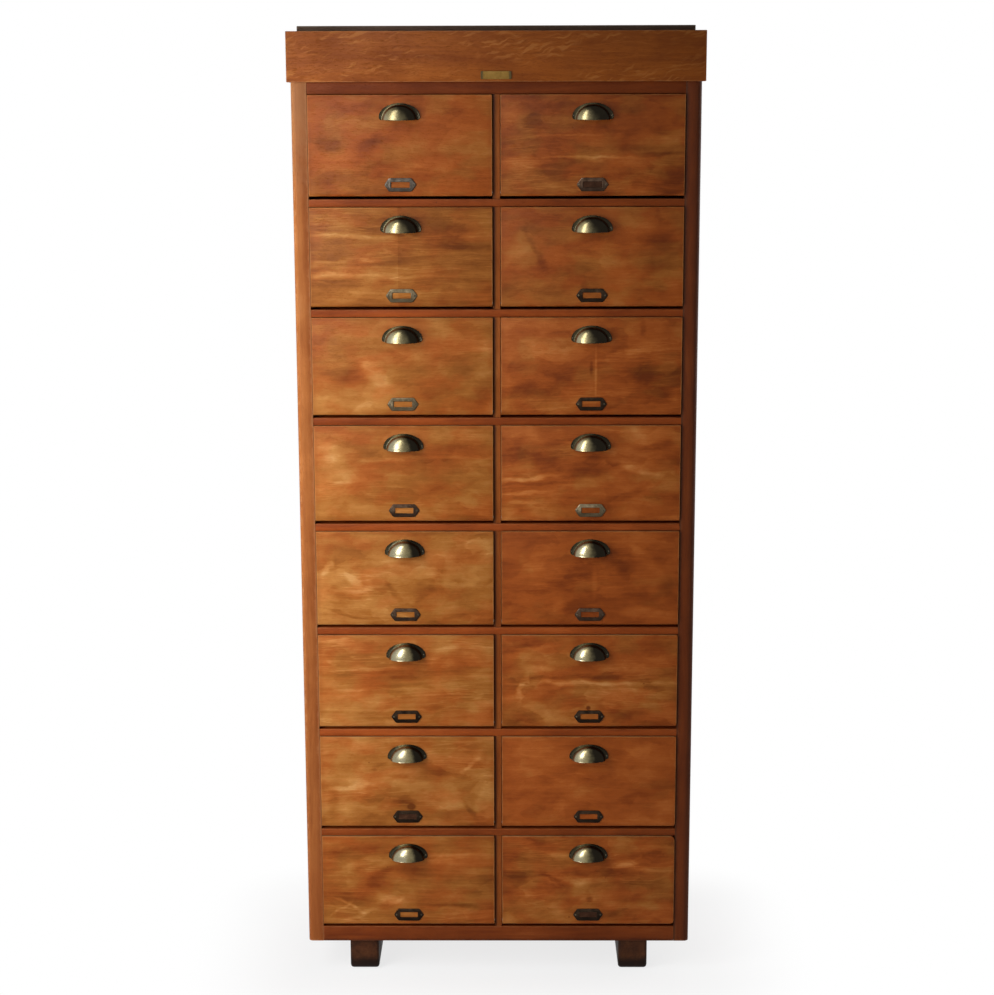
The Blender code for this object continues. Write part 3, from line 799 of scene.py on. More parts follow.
QUIET = {
    "Streaks": 0.24,
    "Bands": 0.2,
    "Clouds": 0.6,
    "Flame": 0.06,
    "Facets": 0.22,
    "Lines": 0.08,
    "Mottle": 0.34,
}
# Painted shadow of the pull: a darker mark just under it on every leaf.
PULL_SHADOW = (4, 148, 34, 10, 0, -0.13)

# Each leaf: its figure, how golden and how light it is, its seam (place and change of tone to the right),
# and its marks. A mark has its middle across from the flap's middle and up from its lower edge, half
# its length and half its width, all in millimetres, its tilt in degrees, and how much lighter it is.
LEAVES = {
    "flap_1_left": (
        QUIET, 0.25, -0.05, None,
        [
            (-66, 108, 36, 14, 45, -0.13), (58, 57, 50, 18, 0, 0.1), (-133, 73, 48, 24, 0, 0.1),
            (-143, 108, 14, 16, 0, -0.1), (150, 150, 40, 30, 20, 0.06),
        ],
    ),
    "flap_1_right": (
        LEAF_FIGURE, 0.25, -0.13, None,
        [
            (165, 28, 44, 30, 40, -0.20), (100, 78, 75, 14, 0, 0.1), (-24, 81, 115, 3, 0, 0.24),
            (138, 88, 58, 5, 0, -0.18), (-65, 129, 85, 3, 0, 0.16), (0, 180, 135, 28, 0, -0.12),
            (-167, 180, 32, 26, 0, 0.1), (-130, 70, 50, 7, 0, 0.14), (150, 118, 40, 8, -12, 0.12),
        ],
    ),
    "flap_2_left": (
        STREAKED, 0.9, -0.05, (-7, -0.09),
        [
            (-100, 151, 95, 4, -2, 0.19), (80, 127, 118, 8, 2, -0.12), (-84, 100, 68, 4, 0, 0.12),
            (0, 65, 195, 4, 0, 0.11), (-158, 54, 38, 3, 0, -0.12), (-31, 54, 22, 9, 0, -0.11),
            (-163, 94, 28, 7, 10, 0.16), (-165, 70, 26, 6, 10, 0.16), (-100, 25, 34, 10, 20, 0.09),
        ],
    ),
    "flap_2_right": (
        QUIET, 0.35, -0.08, None,
        [
            (-156, 102, 34, 36, 0, 0.14), (-121, 121, 46, 9, -70, -0.14),
            (-112, 90, 20, 14, 0, -0.1), (-85, 22, 42, 13, 0, -0.09), (136, 145, 36, 15, 0, -0.12),
            (104, 167, 42, 16, 0, 0.08), (146, 192, 20, 6, 100, -0.1), (60, 80, 60, 20, 0, 0.06),
        ],
    ),
    "flap_3_left": (
        QUIET, 0.65, 0.02, None,
        [
            (-128, 96, 54, 34, -20, -0.15), (-62, 92, 52, 20, -55, 0.17),
            (-115, 38, 52, 26, 0, 0.09), (182, 150, 24, 26, 0, 0.16), (176, 95, 27, 13, 0, 0.16),
            (176, 46, 38, 22, 60, -0.16), (144, 190, 42, 11, 0, -0.09), (80, 127, 40, 9, 0, -0.1),
        ],
    ),
    "flap_3_right": (
        LEAF_FIGURE, 0.0, 0.0, (10, -0.04),
        [
            (111, 95, 32, 30, 0, -0.20), (137, 57, 58, 38, 0, -0.13), (68, 32, 27, 13, 0, -0.16),
            (-138, 57, 28, 17, 0, -0.1), (-70, 78, 18, 9, 0, -0.12), (10, 92, 56, 3, 90, 0.2),
            (0, 102, 18, 4, 90, -0.20), (111, 188, 20, 7, 90, -0.16), (-80, 150, 60, 30, 0, 0.06),
        ],
    ),
    "flap_4_left": (
        QUIET, 0.65, 0.04, None,
        [
            (-163, 141, 34, 13, 15, 0.18), (-165, 165, 26, 8, -10, 0.11),
            (40, 141, 160, 5, 1, 0.11), (-142, 88, 28, 4, 0, 0.15), (150, 192, 24, 20, 0, 0.11),
            (-108, 33, 75, 19, 5, 0.11), (-132, 30, 12, 16, 0, -0.11), (123, 20, 65, 5, 0, 0.11),
            (181, 85, 17, 6, 0, 0.12), (33, 112, 115, 26, 0, -0.07),
        ],
    ),
    "flap_4_right": (
        LEAF_FIGURE, 0.0, -0.02, None,
        [
            (-127, 96, 78, 5, 6, 0.29), (-143, 62, 58, 5, 3, 0.29), (-150, 40, 42, 5, 0, 0.19),
            (-111, 84, 88, 5, 2, -0.19), (5, 117, 52, 24, 15, -0.2), (106, 192, 38, 21, 0, 0.2),
            (148, 166, 48, 9, 10, -0.22), (101, 117, 74, 9, -18, 0.2), (90, 64, 48, 11, 25, -0.19),
            (-138, 192, 48, 21, 0, 0.16),
        ],
    ),
    "flap_5_left": (
        LEAF_FIGURE, 0.85, 0.07, None,
        [
            (-168, 134, 20, 9, 60, 0.22), (-125, 106, 34, 11, -40, 0.22),
            (-98, 78, 34, 7, 10, 0.16), (-141, 28, 58, 4, -12, -0.19),
            (-136, 61, 38, 13, -15, -0.13), (-29, 78, 38, 10, -60, -0.14),
            (46, 78, 38, 10, 50, -0.11), (78, 128, 27, 12, 90, -0.11), (175, 156, 28, 15, 20, 0.15),
            (137, 33, 34, 17, 0, -0.13),
        ],
    ),
    "flap_5_right": (
        QUIET, -0.25, -0.11, None,
        [
            (-30, 112, 48, 20, 30, -0.17), (60, 140, 44, 17, -45, -0.16),
            (-111, 78, 54, 13, 12, -0.12), (-149, 134, 52, 22, 0, 0.08),
            (114, 157, 48, 13, -45, 0.13), (-68, 39, 22, 15, -50, 0.16), (109, 28, 38, 15, 0, 0.15),
            (10, 95, 34, 6, 90, 0.12), (173, 90, 27, 22, 90, -0.12),
        ],
    ),
    "flap_6_left": (
        STREAKED, 0.6, 0.08, None,
        [
            (-85, 137, 95, 5, 2, 0.17), (-16, 105, 80, 20, 0, -0.1), (90, 185, 38, 9, 10, 0.17),
            (-5, 87, 58, 4, 0, 0.14), (-124, 87, 34, 4, 0, 0.16), (0, 37, 195, 4, 0, 0.13),
            (-150, 190, 48, 13, 0, 0.08),
        ],
    ),
    "flap_6_right": (
        LEAF_FIGURE, 0.3, -0.03, None,
        [
            (8, 117, 165, 8, 1, -0.26), (0, 101, 195, 5, 0, 0.27), (-152, 92, 38, 6, 75, 0.26),
            (-125, 136, 48, 11, 8, 0.15), (105, 174, 85, 26, 0, -0.11), (60, 60, 70, 20, 0, 0.09),
            (-2, 44, 5, 5, 0, -0.6),
        ],
    ),
    "flap_7_left": (
        LEAF_FIGURE, 0.75, 0.05, None,
        [
            (-135, 93, 58, 8, 8, 0.24), (-168, 57, 32, 13, 90, -0.13), (-146, 33, 27, 20, 90, 0.1),
            (63, 123, 34, 16, -10, -0.11), (-14, 120, 34, 7, 0, -0.14), (140, 147, 28, 6, 55, 0.22),
            (140, 39, 30, 7, -65, -0.16), (101, 51, 48, 17, 0, 0.13), (9, 47, 9, 7, 0, -0.6),
            (-9, 58, 28, 13, 0, -0.12),
        ],
    ),
    "flap_7_right": (
        QUIET, -0.3, -0.01, None,
        [
            (-65, 51, 14, 15, 0, 0.1), (-180, 51, 27, 16, 90, -0.09), (-140, 177, 64, 21, 0, 0.06),
            (33, 51, 34, 11, 0, -0.08),
        ],
    ),
    "flap_8_left": (
        STREAKED, 0.6, -0.02, None,
        [
            (-134, 64, 54, 17, -3, -0.19), (-140, 49, 42, 4, -25, 0.22),
            (-112, 24, 38, 5, 20, 0.22), (-157, 36, 27, 4, 40, 0.16), (-51, 61, 42, 15, -10, 0.17),
            (-29, 58, 20, 5, 40, 0.16), (-62, 123, 48, 15, 45, -0.17), (27, 135, 84, 15, 0, -0.15),
            (-123, 142, 42, 9, 20, 0.17), (127, 43, 75, 6, -3, -0.16), (115, 167, 78, 6, 0, 0.13),
        ],
    ),
    "flap_8_right": (
        LEAF_FIGURE, 0.35, -0.09, None,
        [
            (-128, 123, 68, 11, 0, -0.21), (44, 123, 95, 11, 0, -0.17),
            (-78, 110, 27, 7, -30, -0.21), (-67, 169, 27, 11, 0, 0.21), (89, 144, 34, 6, 12, 0.29),
            (150, 131, 42, 5, 0, 0.21), (128, 186, 34, 13, 0, 0.17), (-22, 92, 27, 22, 0, 0.14),
            (100, 43, 64, 15, 0, 0.17), (-67, 37, 22, 21, 0, 0.14), (3, 61, 8, 7, 0, -0.3),
            (5, 50, 36, 9, 0, -0.17),
        ],
    ),
}


def panel_mesh(upper_corner=CORNER_EASE, lower_corner=CORNER_EASE):
    """A board about its pivot axis, its right corners worn round, a pin at each end.

    Slots: face, edges, back, pins.
    """
    face, back = -PIVOT_BACK, FLAP_THICKNESS - PIVOT_BACK
    foot, head = -PIVOT_UP, FLAP_HEIGHT - PIVOT_UP
    section = [(back, foot), (back, head)]
    section += arc((face + FACE_EASE, head - FACE_EASE), FACE_EASE, 90, 180, 4)
    section += arc((face + LOWER_ROUND, foot + LOWER_ROUND), LOWER_ROUND, 180, 270, 8)
    half = FLAP_WIDTH / 2
    reach = max(upper_corner, lower_corner)
    turns = [math.pi / 2 * i / CORNER_STEPS for i in range(CORNER_STEPS + 1)]
    bm = bmesh.new()
    rings = []
    for x in [-half] + [half - reach + reach * math.sin(turn) for turn in turns]:
        into = min(1.0, max(0.0, x - half + reach) / reach)
        drop = 1 - math.sqrt(1 - into * into)
        ring = []
        for y, z in section:
            worn = -upper_corner if z > 0 else lower_corner
            ring.append(bm.verts.new((x, y, z + worn * drop)))
        rings.append(ring)
    caps = [bm.faces.new(rings[0]), bm.faces.new(rings[-1])]
    bridge(bm, rings)
    bmesh.ops.recalc_face_normals(bm, faces=bm.faces)
    rim = [
        edge
        for cap in caps
        for edge in cap.edges
        if max(v.co.y for v in edge.verts) < back - FACE_EASE
    ]
    bmesh.ops.bevel(
        bm, geom=rim, offset=FACE_EASE * 0.8, segments=3, profile=0.5, affect="EDGES", clamp_overlap=True
    )
    bm.normal_update()
    for side in bm.faces:
        flat_end = abs(side.normal.x) > 0.97
        flat_edge = abs(side.normal.z) > 0.97 and side.calc_center_median().y > face + LOWER_ROUND
        if side.normal.y > 0.9:
            side.material_index = BACK_SLOT
        elif flat_end or flat_edge:
            side.material_index = EDGE_SLOT
    for sign in (-1, 1):
        rings = []
        for run, wide in PIN_TAPER:
            x = sign * (half - PIN_RADIUS + PIN_LENGTH * run)
            points = circle((0, 0), PIN_RADIUS * wide, PIN_POINTS)
            rings.append([bm.verts.new((x, y, z)) for y, z in points])
        for side in [bm.faces.new(rings[0]), bm.faces.new(rings[-1]), *bridge(bm, rings)]:
            side.material_index = PIN_SLOT
    bmesh.ops.recalc_face_normals(bm, faces=bm.faces)
    return finished_mesh(bm, "flap_panel", SOFT_ANGLE)


def make_leaf_mark():
    """A soft long mark in the veneer about Middle, Half long and wide, turned about the Y axis."""
    tree, given, result = new_group(
        "leaf_mark", {"Place": (0, 0, 0), "Middle": (0, 0, 0), "Half": (1, 1, 1), "Turn": 0.0}, ("Mark",)
    )
    away = vector(tree, "SUBTRACT", given["Place"], given["Middle"])
    turned = add(tree, "VectorRotate", {"Vector": away, "Angle": given["Turn"]}, rotation_type="Y_AXIS")
    far = measure(tree, "LENGTH", vector(tree, "DIVIDE", turned, given["Half"]))
    feed(tree, result["Mark"], step(tree, far, 1.45, 0.25))


def make_leaf_drift():
    """How a leaf wanders: its marks' shift along X and up Z, how streaky they are, and its warmth."""
    tree, given, result = new_group(
        "leaf_drift", {"Place": (0, 0, 0), "Grain": (0, 0, 0)}, ("Along", "Up", "Streaky", "Warmth")
    )
    along = calc(tree, "MULTIPLY_ADD", noise(tree, given["Grain"], (14, 22, 22), 3, 0.6), 0.06, -0.03)
    up = calc(tree, "MULTIPLY_ADD", noise(tree, given["Grain"], (11, 30, 30), 3, 0.6), 0.028, -0.014)
    bent = vector(tree, "ADD", given["Place"], add(tree, "CombineXYZ", {"X": along, "Z": up}))
    streaks = noise(tree, given["Grain"], (7, 150, 150), 3, 0.6)
    feed(tree, result["Along"], along)
    feed(tree, result["Up"], up)
    feed(tree, result["Streaky"], calc(tree, "MULTIPLY_ADD", streaks, 1.2, 0.5))
    feed(tree, result["Warmth"], step(tree, noise(tree, bent, (9, 9, 18), 3, 0.55), 0.66, 0.34))


make_leaf_mark()
make_leaf_drift()


def veneer(name, seed, figure, gold, bias, seam, leaf_marks):
    """A leaf of figured veneer under satin varnish: gold or red, lighter by bias, with its own marks."""
    material, tree, shader = new_material(name, VENEER_ROUGHNESS, WOOD_GLOSS)
    place, grain = grain_place(tree, "X")
    wood = use(tree, "wood_figure", {"Place": grain, "Seed": seed, **figure})
    edges = {
        "Place": place,
        "Middle": (0, FLAP_THICKNESS / 2 - PIVOT_BACK, FLAP_HEIGHT / 2 - PIVOT_UP),
        "Half": (FLAP_WIDTH / 2, FLAP_THICKNESS / 2, FLAP_HEIGHT / 2),
        "Reach": VENEER_WEAR,
        "Seed": seed,
    }
    edge = use(tree, "edge_wear", edges)
    marks = use(tree, "knocks", {"Place": place, "Seed": seed})
    drift = use(tree, "leaf_drift", {"Place": place, "Grain": grain})
    bent = vector(tree, "ADD", place, add(tree, "CombineXYZ", {"X": drift["Along"], "Z": drift["Up"]}))
    shift = 0.0
    for x, z, length, width, tilt, strength in [*leaf_marks, PULL_SHADOW]:
        spot = {
            "Place": place if length < 10 or tilt == 90 else bent,
            "Middle": (x / 1000, -PIVOT_BACK, z / 1000 - PIVOT_UP),
            "Half": (length / 1000, 1.0, width / 1000),
            "Turn": math.radians(tilt),
        }
        shift = calc(tree, "MULTIPLY_ADD", use(tree, "leaf_mark", spot)["Mark"], strength, shift)
    tone = calc(tree, "MULTIPLY_ADD", shift, drift["Streaky"], calc(tree, "ADD", wood["Tone"], bias))
    if seam:
        joint, change = seam[0] / 1000, seam[1]
        beyond = step(tree, split(tree, place)[0], joint - SEAM_HALF, joint + SEAM_HALF)
        tone = calc(tree, "MULTIPLY_ADD", beyond, change, tone)
    golden = calc(tree, "MULTIPLY_ADD", drift["Warmth"], 1.1, gold - 0.55)
    leaf = [shades(tree, tone, colours, 0.1, 0.9) for colours in (VENEER_RED, VENEER_GOLD)]
    dark = calc(tree, "MULTIPLY", wood["Pores"], 0.2)
    for mark, depth in ((marks["Dents"], 0.6), (marks["Blotches"], 0.1), (edge["Near"], 0.2)):
        dark = calc(tree, "MAXIMUM", dark, calc(tree, "MULTIPLY", mark, depth))
    colour = blend(tree, dark, blend(tree, golden, *leaf), VENEER_RED[0])
    colour = blend(tree, calc(tree, "MULTIPLY", edge["Wear"], 0.5), colour, VENEER_RUBBED)
    feed(tree, shader["Base Color"], colour)
    dull = calc(tree, "MULTIPLY_ADD", marks["Blotches"], 0.1, VENEER_ROUGHNESS - 0.04)
    feed(tree, shader["Roughness"], calc(tree, "MULTIPLY_ADD", wood["Pores"], 0.2, dull))
    height = calc(tree, "MULTIPLY_ADD", wood["Pores"], -0.5, wood["Tone"])
    raise_surface(tree, shader, calc(tree, "MULTIPLY_ADD", marks["Dents"], -1.0, height), VENEER_DEPTH)
    return material


hinges = {joint["child"]: joint["pos_m"] for joint in frame["joints"]}
panel_box = (
    Vector((-FLAP_WIDTH / 2, -PIVOT_BACK, -PIVOT_UP)),
    Vector((FLAP_WIDTH / 2, FLAP_THICKNESS - PIVOT_BACK, FLAP_HEIGHT - PIVOT_UP)),
)
edge_ply = stained_wood("flap_edge_ply", "X", panel_box, 71, PLY_EDGE, VENEER_RUBBED, PLY_FIGURE)
pin_steel = old_metal("pin_steel", 73, PIN_STEEL, 0.35)
for seed, (body, leaf) in enumerate(LEAVES.items(), 101):
    mesh = panel_mesh(*WORN_CORNERS.get(body, ()))
    mesh.name = f"{body}_panel"
    inner = stained_wood(f"{body}_inner", "X", panel_box, seed + 50, INNER_PLY, VENEER_RUBBED, INNER_FIGURE)
    for material in (veneer(f"{body}_veneer", seed, *leaf), edge_ply, inner, pin_steel):
        mesh.materials.append(material)
    add_piece(f"{body}_panel", mesh, body, [body], hinges[body])

# Label holders
# A stamped frame with pointed ends holds a paper label behind its window, and is pinned to the flap near
# its lower edge. Handling has left each one a different shade, and most have lost their card.

LABEL_WIDTH = 0.069
LABEL_HEIGHT = 0.029
LABEL_POINT = 0.0105
LABEL_UP = 0.0242
LABEL_PROUD = 0.002
LABEL_ROUND = 0.003
WINDOW_WIDTH = 0.040
WINDOW_HEIGHT = 0.0120
WINDOW_ROUND = 0.0015
ROUND_STEPS = 4
OUTER_ROLL = [(0, 0), (0.0001, 0.5), (0.0006, 0.85), (0.0016, 1.0), (0.003, 0.92)]
INNER_ROLL = [(0.0022, 0.85), (0.0012, 0.95), (0.0003, 0.7), (0, 0.15)]
LABEL_PIN = 0.0019
LABEL_PIN_HEIGHT = 0.0009
LABEL_PIN_INSET = 0.0062
CARD_OVERLAP = 1.04
CARD_OUT = 0.0005
CARD_THICKNESS = 0.0003
CRISP_ANGLE = 50
HOLDER_METALS = {
    "grey": [(0.024, 0.019, 0.015), (0.065, 0.053, 0.042), (0.125, 0.104, 0.083), (0.25, 0.21, 0.17)],
    "tan": [(0.036, 0.026, 0.015), (0.11, 0.083, 0.048), (0.20, 0.156, 0.094), (0.36, 0.29, 0.185)],
    "umber": [(0.016, 0.009, 0.006), (0.048, 0.028, 0.018), (0.092, 0.056, 0.036), (0.18, 0.12, 0.08)],
    "black": [(0.008, 0.005, 0.0035), (0.019, 0.012, 0.0075), (0.042, 0.026, 0.016), (0.1, 0.068, 0.045)],
}
HOLDERS_LEFT = ("grey", "tan", "tan", "umber", "umber", "black", "black", "black")
HOLDERS_RIGHT = ("umber", "black", "black", "tan", "umber", "black", "black", "black")
SCREW_METAL = [(0.02, 0.017, 0.012), (0.055, 0.046, 0.032), (0.1, 0.083, 0.056), (0.19, 0.16, 0.11)]
CARDED = ("flap_7_left", "flap_1_right", "flap_8_right")
CARD = [(0.02, 0.009, 0.005), (0.045, 0.019, 0.01), (0.07, 0.03, 0.016), (0.12, 0.055, 0.03)]


def pointed_ring(bm, half_length, shoulder, half_height, round_off, out):
    """Six corners of a long hexagon, each rounded off, as one ring of points."""
    right = [(shoulder, -half_height), (half_length, 0), (shoulder, half_height)]
    corners = [Vector((x, 0, z)) for x, z in right + [(-x, z) for x, z in reversed(right)]]
    ring = []
    for i, corner in enumerate(corners):
        into = (corners[i - 1] - corner).normalized() * round_off
        away = (corners[(i + 1) % 6] - corner).normalized() * round_off
        for k in range(ROUND_STEPS + 1):
            t = k / ROUND_STEPS
            point = corner + into * (1 - t) ** 2 + away * t**2
            ring.append(bm.verts.new(point - Vector((0, out, 0))))
    return ring


def holder_mesh(carded):
    """The stamped frame, its two pins and, where there is one, its card; slots: frame, pins, card."""
    tip, tall = LABEL_WIDTH / 2, LABEL_HEIGHT / 2
    wide, high = WINDOW_WIDTH / 2, WINDOW_HEIGHT / 2
    bm = bmesh.new()
    rings = []
    for inset, rise in OUTER_ROLL:
        hexagon = (tip - inset, tip - LABEL_POINT - inset / 2, tall - inset)
        rings.append(pointed_ring(bm, *hexagon, LABEL_ROUND, LABEL_PROUD * rise))
    for grow, rise in INNER_ROLL:
        window = (wide + grow, wide + grow, high + grow)
        rings.append(pointed_ring(bm, *window, WINDOW_ROUND, LABEL_PROUD * rise))
    bridge(bm, rings + rings[:1])
    for sign in (-1, 1):
        pin = (sign * (tip - LABEL_PIN_INSET), -LABEL_PROUD * 0.85, 0)
        domed_head(bm, pin, LABEL_PIN, LABEL_PIN_HEIGHT, 1)
    if carded:
        across, up = wide * CARD_OVERLAP, high * CARD_OVERLAP
        corners = ((-across, -up), (across, -up), (across, up), (-across, up))
        card = [bm.verts.new((x, -CARD_OUT, z)) for x, z in corners]
        back = [bm.verts.new(v.co + Vector((0, CARD_THICKNESS, 0))) for v in card]
        for face in [bm.faces.new(card), bm.faces.new(back), *bridge(bm, [card, back])]:
            face.material_index = 2
    bmesh.ops.recalc_face_normals(bm, faces=bm.faces)
    return finished_mesh(bm, "label_holder", CRISP_ANGLE)


old_screw = old_metal("old_screw", 74, SCREW_METAL, 0.4)
dark_card = old_metal("dark_card", 199, CARD, 0.8)
card_shader = dark_card.node_tree.nodes["Principled BSDF"].inputs
card_shader["Metallic"].default_value = 0.0
card_shader["Specular IOR Level"].default_value = 0.05
for row in range(1, 9):
    for side, metals in (("left", HOLDERS_LEFT), ("right", HOLDERS_RIGHT)):
        body = f"flap_{row}_{side}"
        mesh = holder_mesh(body in CARDED)
        colours = HOLDER_METALS[metals[row - 1]]
        metal = old_metal(f"{body}_holder_metal", 200 + row, colours, 0.36)
        # Painted shade: the frame darkens to its lower bar and its right end, as if lit from the upper left.
        shade_side(metal, "Z", 0.004, -0.009, colours[0], 0.7, 0.004)
        shade_side(metal, "X", 0.012, 0.034, colours[0], 0.45, 0.01)
        for material in (metal, old_screw, dark_card):
            mesh.materials.append(material)
        x, y, z = hinges[body]
        seat = (x, y - PIVOT_BACK, z + LABEL_UP - PIVOT_UP)
        add_piece(f"{body}_label_holder", mesh, body, (), seat)

# Cup pulls
# A pressed brass shell on a half-moon flange, open below for the fingers, with a rolled lip. Two screws hold
# it near the flap's top edge. A pale painted highlight, with some wear, lies on the belly, and tarnish
# with painted shade darkens the shell to the right and above, the flange and the foot of the dome.

FLANGE_HALF = 0.044
FLANGE_HEIGHT = 0.035
FLANGE_THICKNESS = 0.0015
FLANGE_RIM = 0.0028
EAR_WIDTH = 0.0068
EAR_ROUND = 0.006
EAR_STEPS = 8
ARCH_STEPS = 40
CUP_DEPTH = 0.025
CUP_WALL = 0.0018
CUP_FULLNESS = 0.78
CUP_STEPS = 18
GROOVE_OUT = 0.0011
GROOVE_DEEP = 0.8
FLANGE_ROLL = ((0, 0), (0, 0.6), (0.0005, 1), (0.0016, 1), (0.0022, GROOVE_DEEP))
LIP_ROLL = ((0.0002, 0.0005), (-0.0004, 0.0011), (-CUP_WALL, 0.0009))
CUP_SCREW = 0.002
CUP_SCREW_HEIGHT = 0.001
CUP_SCREW_ACROSS = 0.0398
CUP_SCREW_UP = 0.0085
CUP_ANGLE = 45
CUP_BRASS = [(0.085, 0.068, 0.033), (0.18, 0.147, 0.073), (0.30, 0.25, 0.13), (0.44, 0.38, 0.23)]
# The pale colour of the painted highlight with some wear, and the near-black of tarnish with painted shade.
CUP_HIGHLIGHT_AND_WEAR = (0.30, 0.268, 0.172)
CUP_TARNISH_AND_SHADE = (0.007, 0.0055, 0.0045)


def cup_mesh():
    """Curves over the arch, from end to end, bridged in turn round the wall; slots: shell, screws."""
    dome_half, dome_height = FLANGE_HALF - EAR_WIDTH, FLANGE_HEIGHT - FLANGE_RIM

    def flange(inset, out):
        half, height, ear = FLANGE_HALF - inset, FLANGE_HEIGHT - inset, EAR_ROUND - inset
        corner = [(x, z + inset) for x, z in arc((half - ear, ear), ear, -90, 0, EAR_STEPS)]
        rise = [math.pi * i / ARCH_STEPS for i in range(1, ARCH_STEPS)]
        over = [(half * math.cos(t), EAR_ROUND + (height - ear - inset) * math.sin(t)) for t in rise]
        return [(x, -out, z) for x, z in corner + over + [(-x, z) for x, z in reversed(corner)]]

    turns = [math.atan2(z / dome_height, x / dome_half) for x, y, z in flange(0, 0)]

    def dome(grow, lift, drop=0.0):
        half, height, reach = dome_half + grow, dome_height + grow, CUP_DEPTH - FLANGE_THICKNESS + grow
        return [
            (
                half * math.cos(t),
                -FLANGE_THICKNESS - reach * (max(0.0, math.sin(t)) * math.sin(lift)) ** CUP_FULLNESS,
                height * math.sin(t) * math.cos(lift) - drop * math.sin(t),
            )
            for t in turns
        ]

    lifts = [math.pi / 2 * i / CUP_STEPS for i in range(CUP_STEPS + 1)]
    groove = -FLANGE_THICKNESS * GROOVE_DEEP
    curves = [flange(inset, FLANGE_THICKNESS * out) for inset, out in FLANGE_ROLL]
    curves.append([(x, groove, z) for x, y, z in dome(GROOVE_OUT, 0)])
    curves += [dome(0, lift) for lift in lifts]
    curves += [dome(grow, lifts[-1], drop) for grow, drop in LIP_ROLL]
    curves += [dome(-CUP_WALL, lift) for lift in reversed(lifts)]
    curves.append([(x, 0, z) for x, y, z in curves[-1]])
    bm = bmesh.new()
    rings = [[bm.verts.new(point) for point in curve] for curve in curves]
    bridge(bm, rings + rings[:1], closed_loop=False)
    for end in (0, -1):
        bm.faces.new([ring[end] for ring in rings])
    bmesh.ops.remove_doubles(bm, verts=bm.verts, dist=1e-6)
    for sign in (-1, 1):
        domed_head(bm, (sign * CUP_SCREW_ACROSS, groove, CUP_SCREW_UP), CUP_SCREW, CUP_SCREW_HEIGHT, 1)
    bmesh.ops.recalc_face_normals(bm, faces=bm.faces)
    return finished_mesh(bm, "cup_pull", CUP_ANGLE)


def make_cup_highlight_and_shade():
    """A pull's painted highlight, with wear, and its tarnish with painted shade: right, above and on the
    flange.

    The shell darkens over Width from the facing From on, and Upper says how much facing up counts.
    """
    tree, given, result = new_group(
        "cup_highlight_and_shade",
        {"Place": (0, 0, 0), "Facing": (0, 0, 1), "From": -0.1, "Width": 0.34, "Upper": 0.05},
        ("Highlight and wear", "Tarnish and shade"),
    )

    def along(share):
        return calc(tree, "MULTIPLY_ADD", given["Width"], share, given["From"])

    x, y, z = split(tree, given["Place"])
    faces = split(tree, given["Facing"])
    ragged = calc(tree, "MULTIPLY_ADD", noise(tree, given["Place"], (130, 130, 130), 3), 0.2, -0.1)
    turned = calc(tree, "MULTIPLY_ADD", faces[0], 0.9, ragged)
    turned = calc(tree, "MULTIPLY_ADD", faces[2], given["Upper"], turned)
    shell = step(tree, turned, along(0.25), along(1.2))
    flat = step(tree, y, -0.0032, -0.0019)
    rightward = calc(tree, "MULTIPLY_ADD", step(tree, x, -0.025, 0.015), 0.24, 0.74)
    centred = vector(tree, "SUBTRACT", given["Place"], (0, 0, EAR_ROUND))
    centred = vector(tree, "MAXIMUM", centred, (-1, -1, 0))
    arch = (1 / FLANGE_HALF, 0, 1 / (FLANGE_HEIGHT - EAR_ROUND))
    rim = step(tree, measure(tree, "LENGTH", vector(tree, "MULTIPLY", centred, arch)), 0.905, 0.945)
    lit = calc(tree, "MULTIPLY", rim, step(tree, x, 0.012, -0.012))
    flange = calc(tree, "MULTIPLY", flat, rightward)
    flange = calc(tree, "MULTIPLY", flange, calc(tree, "SUBTRACT", 1.0, lit))
    sideways = step(tree, calc(tree, "ABSOLUTE", x), 0.014, 0.031)
    foot = calc(tree, "MULTIPLY", step(tree, y, -0.0105, -0.004), sideways)
    tarnish_and_shade = calc(tree, "MAXIMUM", shell, calc(tree, "MAXIMUM", flange, calc(tree, "MULTIPLY", foot, 0.85)))
    feed(tree, result["Highlight and wear"], step(tree, turned, along(0.45), along(-0.1)))
    feed(tree, result["Tarnish and shade"], calc(tree, "MULTIPLY", tarnish_and_shade, 0.97))


make_cup_highlight_and_shade()


def cup_brass(name, seed, row, side):
    """Old brass with a painted highlight and tarnish with painted shade: the lower its row, the less shade.
    """
    material = old_metal(name, seed, CUP_BRASS, 0.27, 0.0, 0.3)
    tree = material.node_tree
    coordinates = tree.nodes.new("ShaderNodeTexCoord").outputs
    # Where the painted highlight and the painted shade fall, by the light on this pull's row and column.
    tarnish = {
        "Place": coordinates["Object"],
        "Facing": coordinates["Normal"],
        "From": min(-0.1, -0.55 + 0.09 * row) - (0.13 if side == "right" else 0.0),
        "Width": max(0.34, 0.795 - 0.095 * row),
        "Upper": max(0.05, 0.61 - 0.11 * row),
    }
    masks = use(tree, "cup_highlight_and_shade", tarnish)
    lay_over(material, masks["Highlight and wear"], CUP_HIGHLIGHT_AND_WEAR)
    lay_over(material, masks["Tarnish and shade"], CUP_TARNISH_AND_SHADE)
    return material


cup = cup_mesh()
for seed, body in enumerate(sorted(hinges), 301):
    mesh = cup.copy()
    node = body.replace("flap", "pull")
    mesh.name = f"{node}_cup"
    kind, row, side = body.split("_")
    mesh.materials.append(cup_brass(f"{node}_brass", seed, int(row), side))
    mesh.materials.append(old_screw)
    low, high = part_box(node)
    add_piece(f"{node}_cup", mesh, body, [node], ((low.x + high.x) / 2, high.y, low.z))

# Floor
# A pale studio floor that keeps a faint contact shadow round the part and turns white with distance, as the
# photograph's ground is.

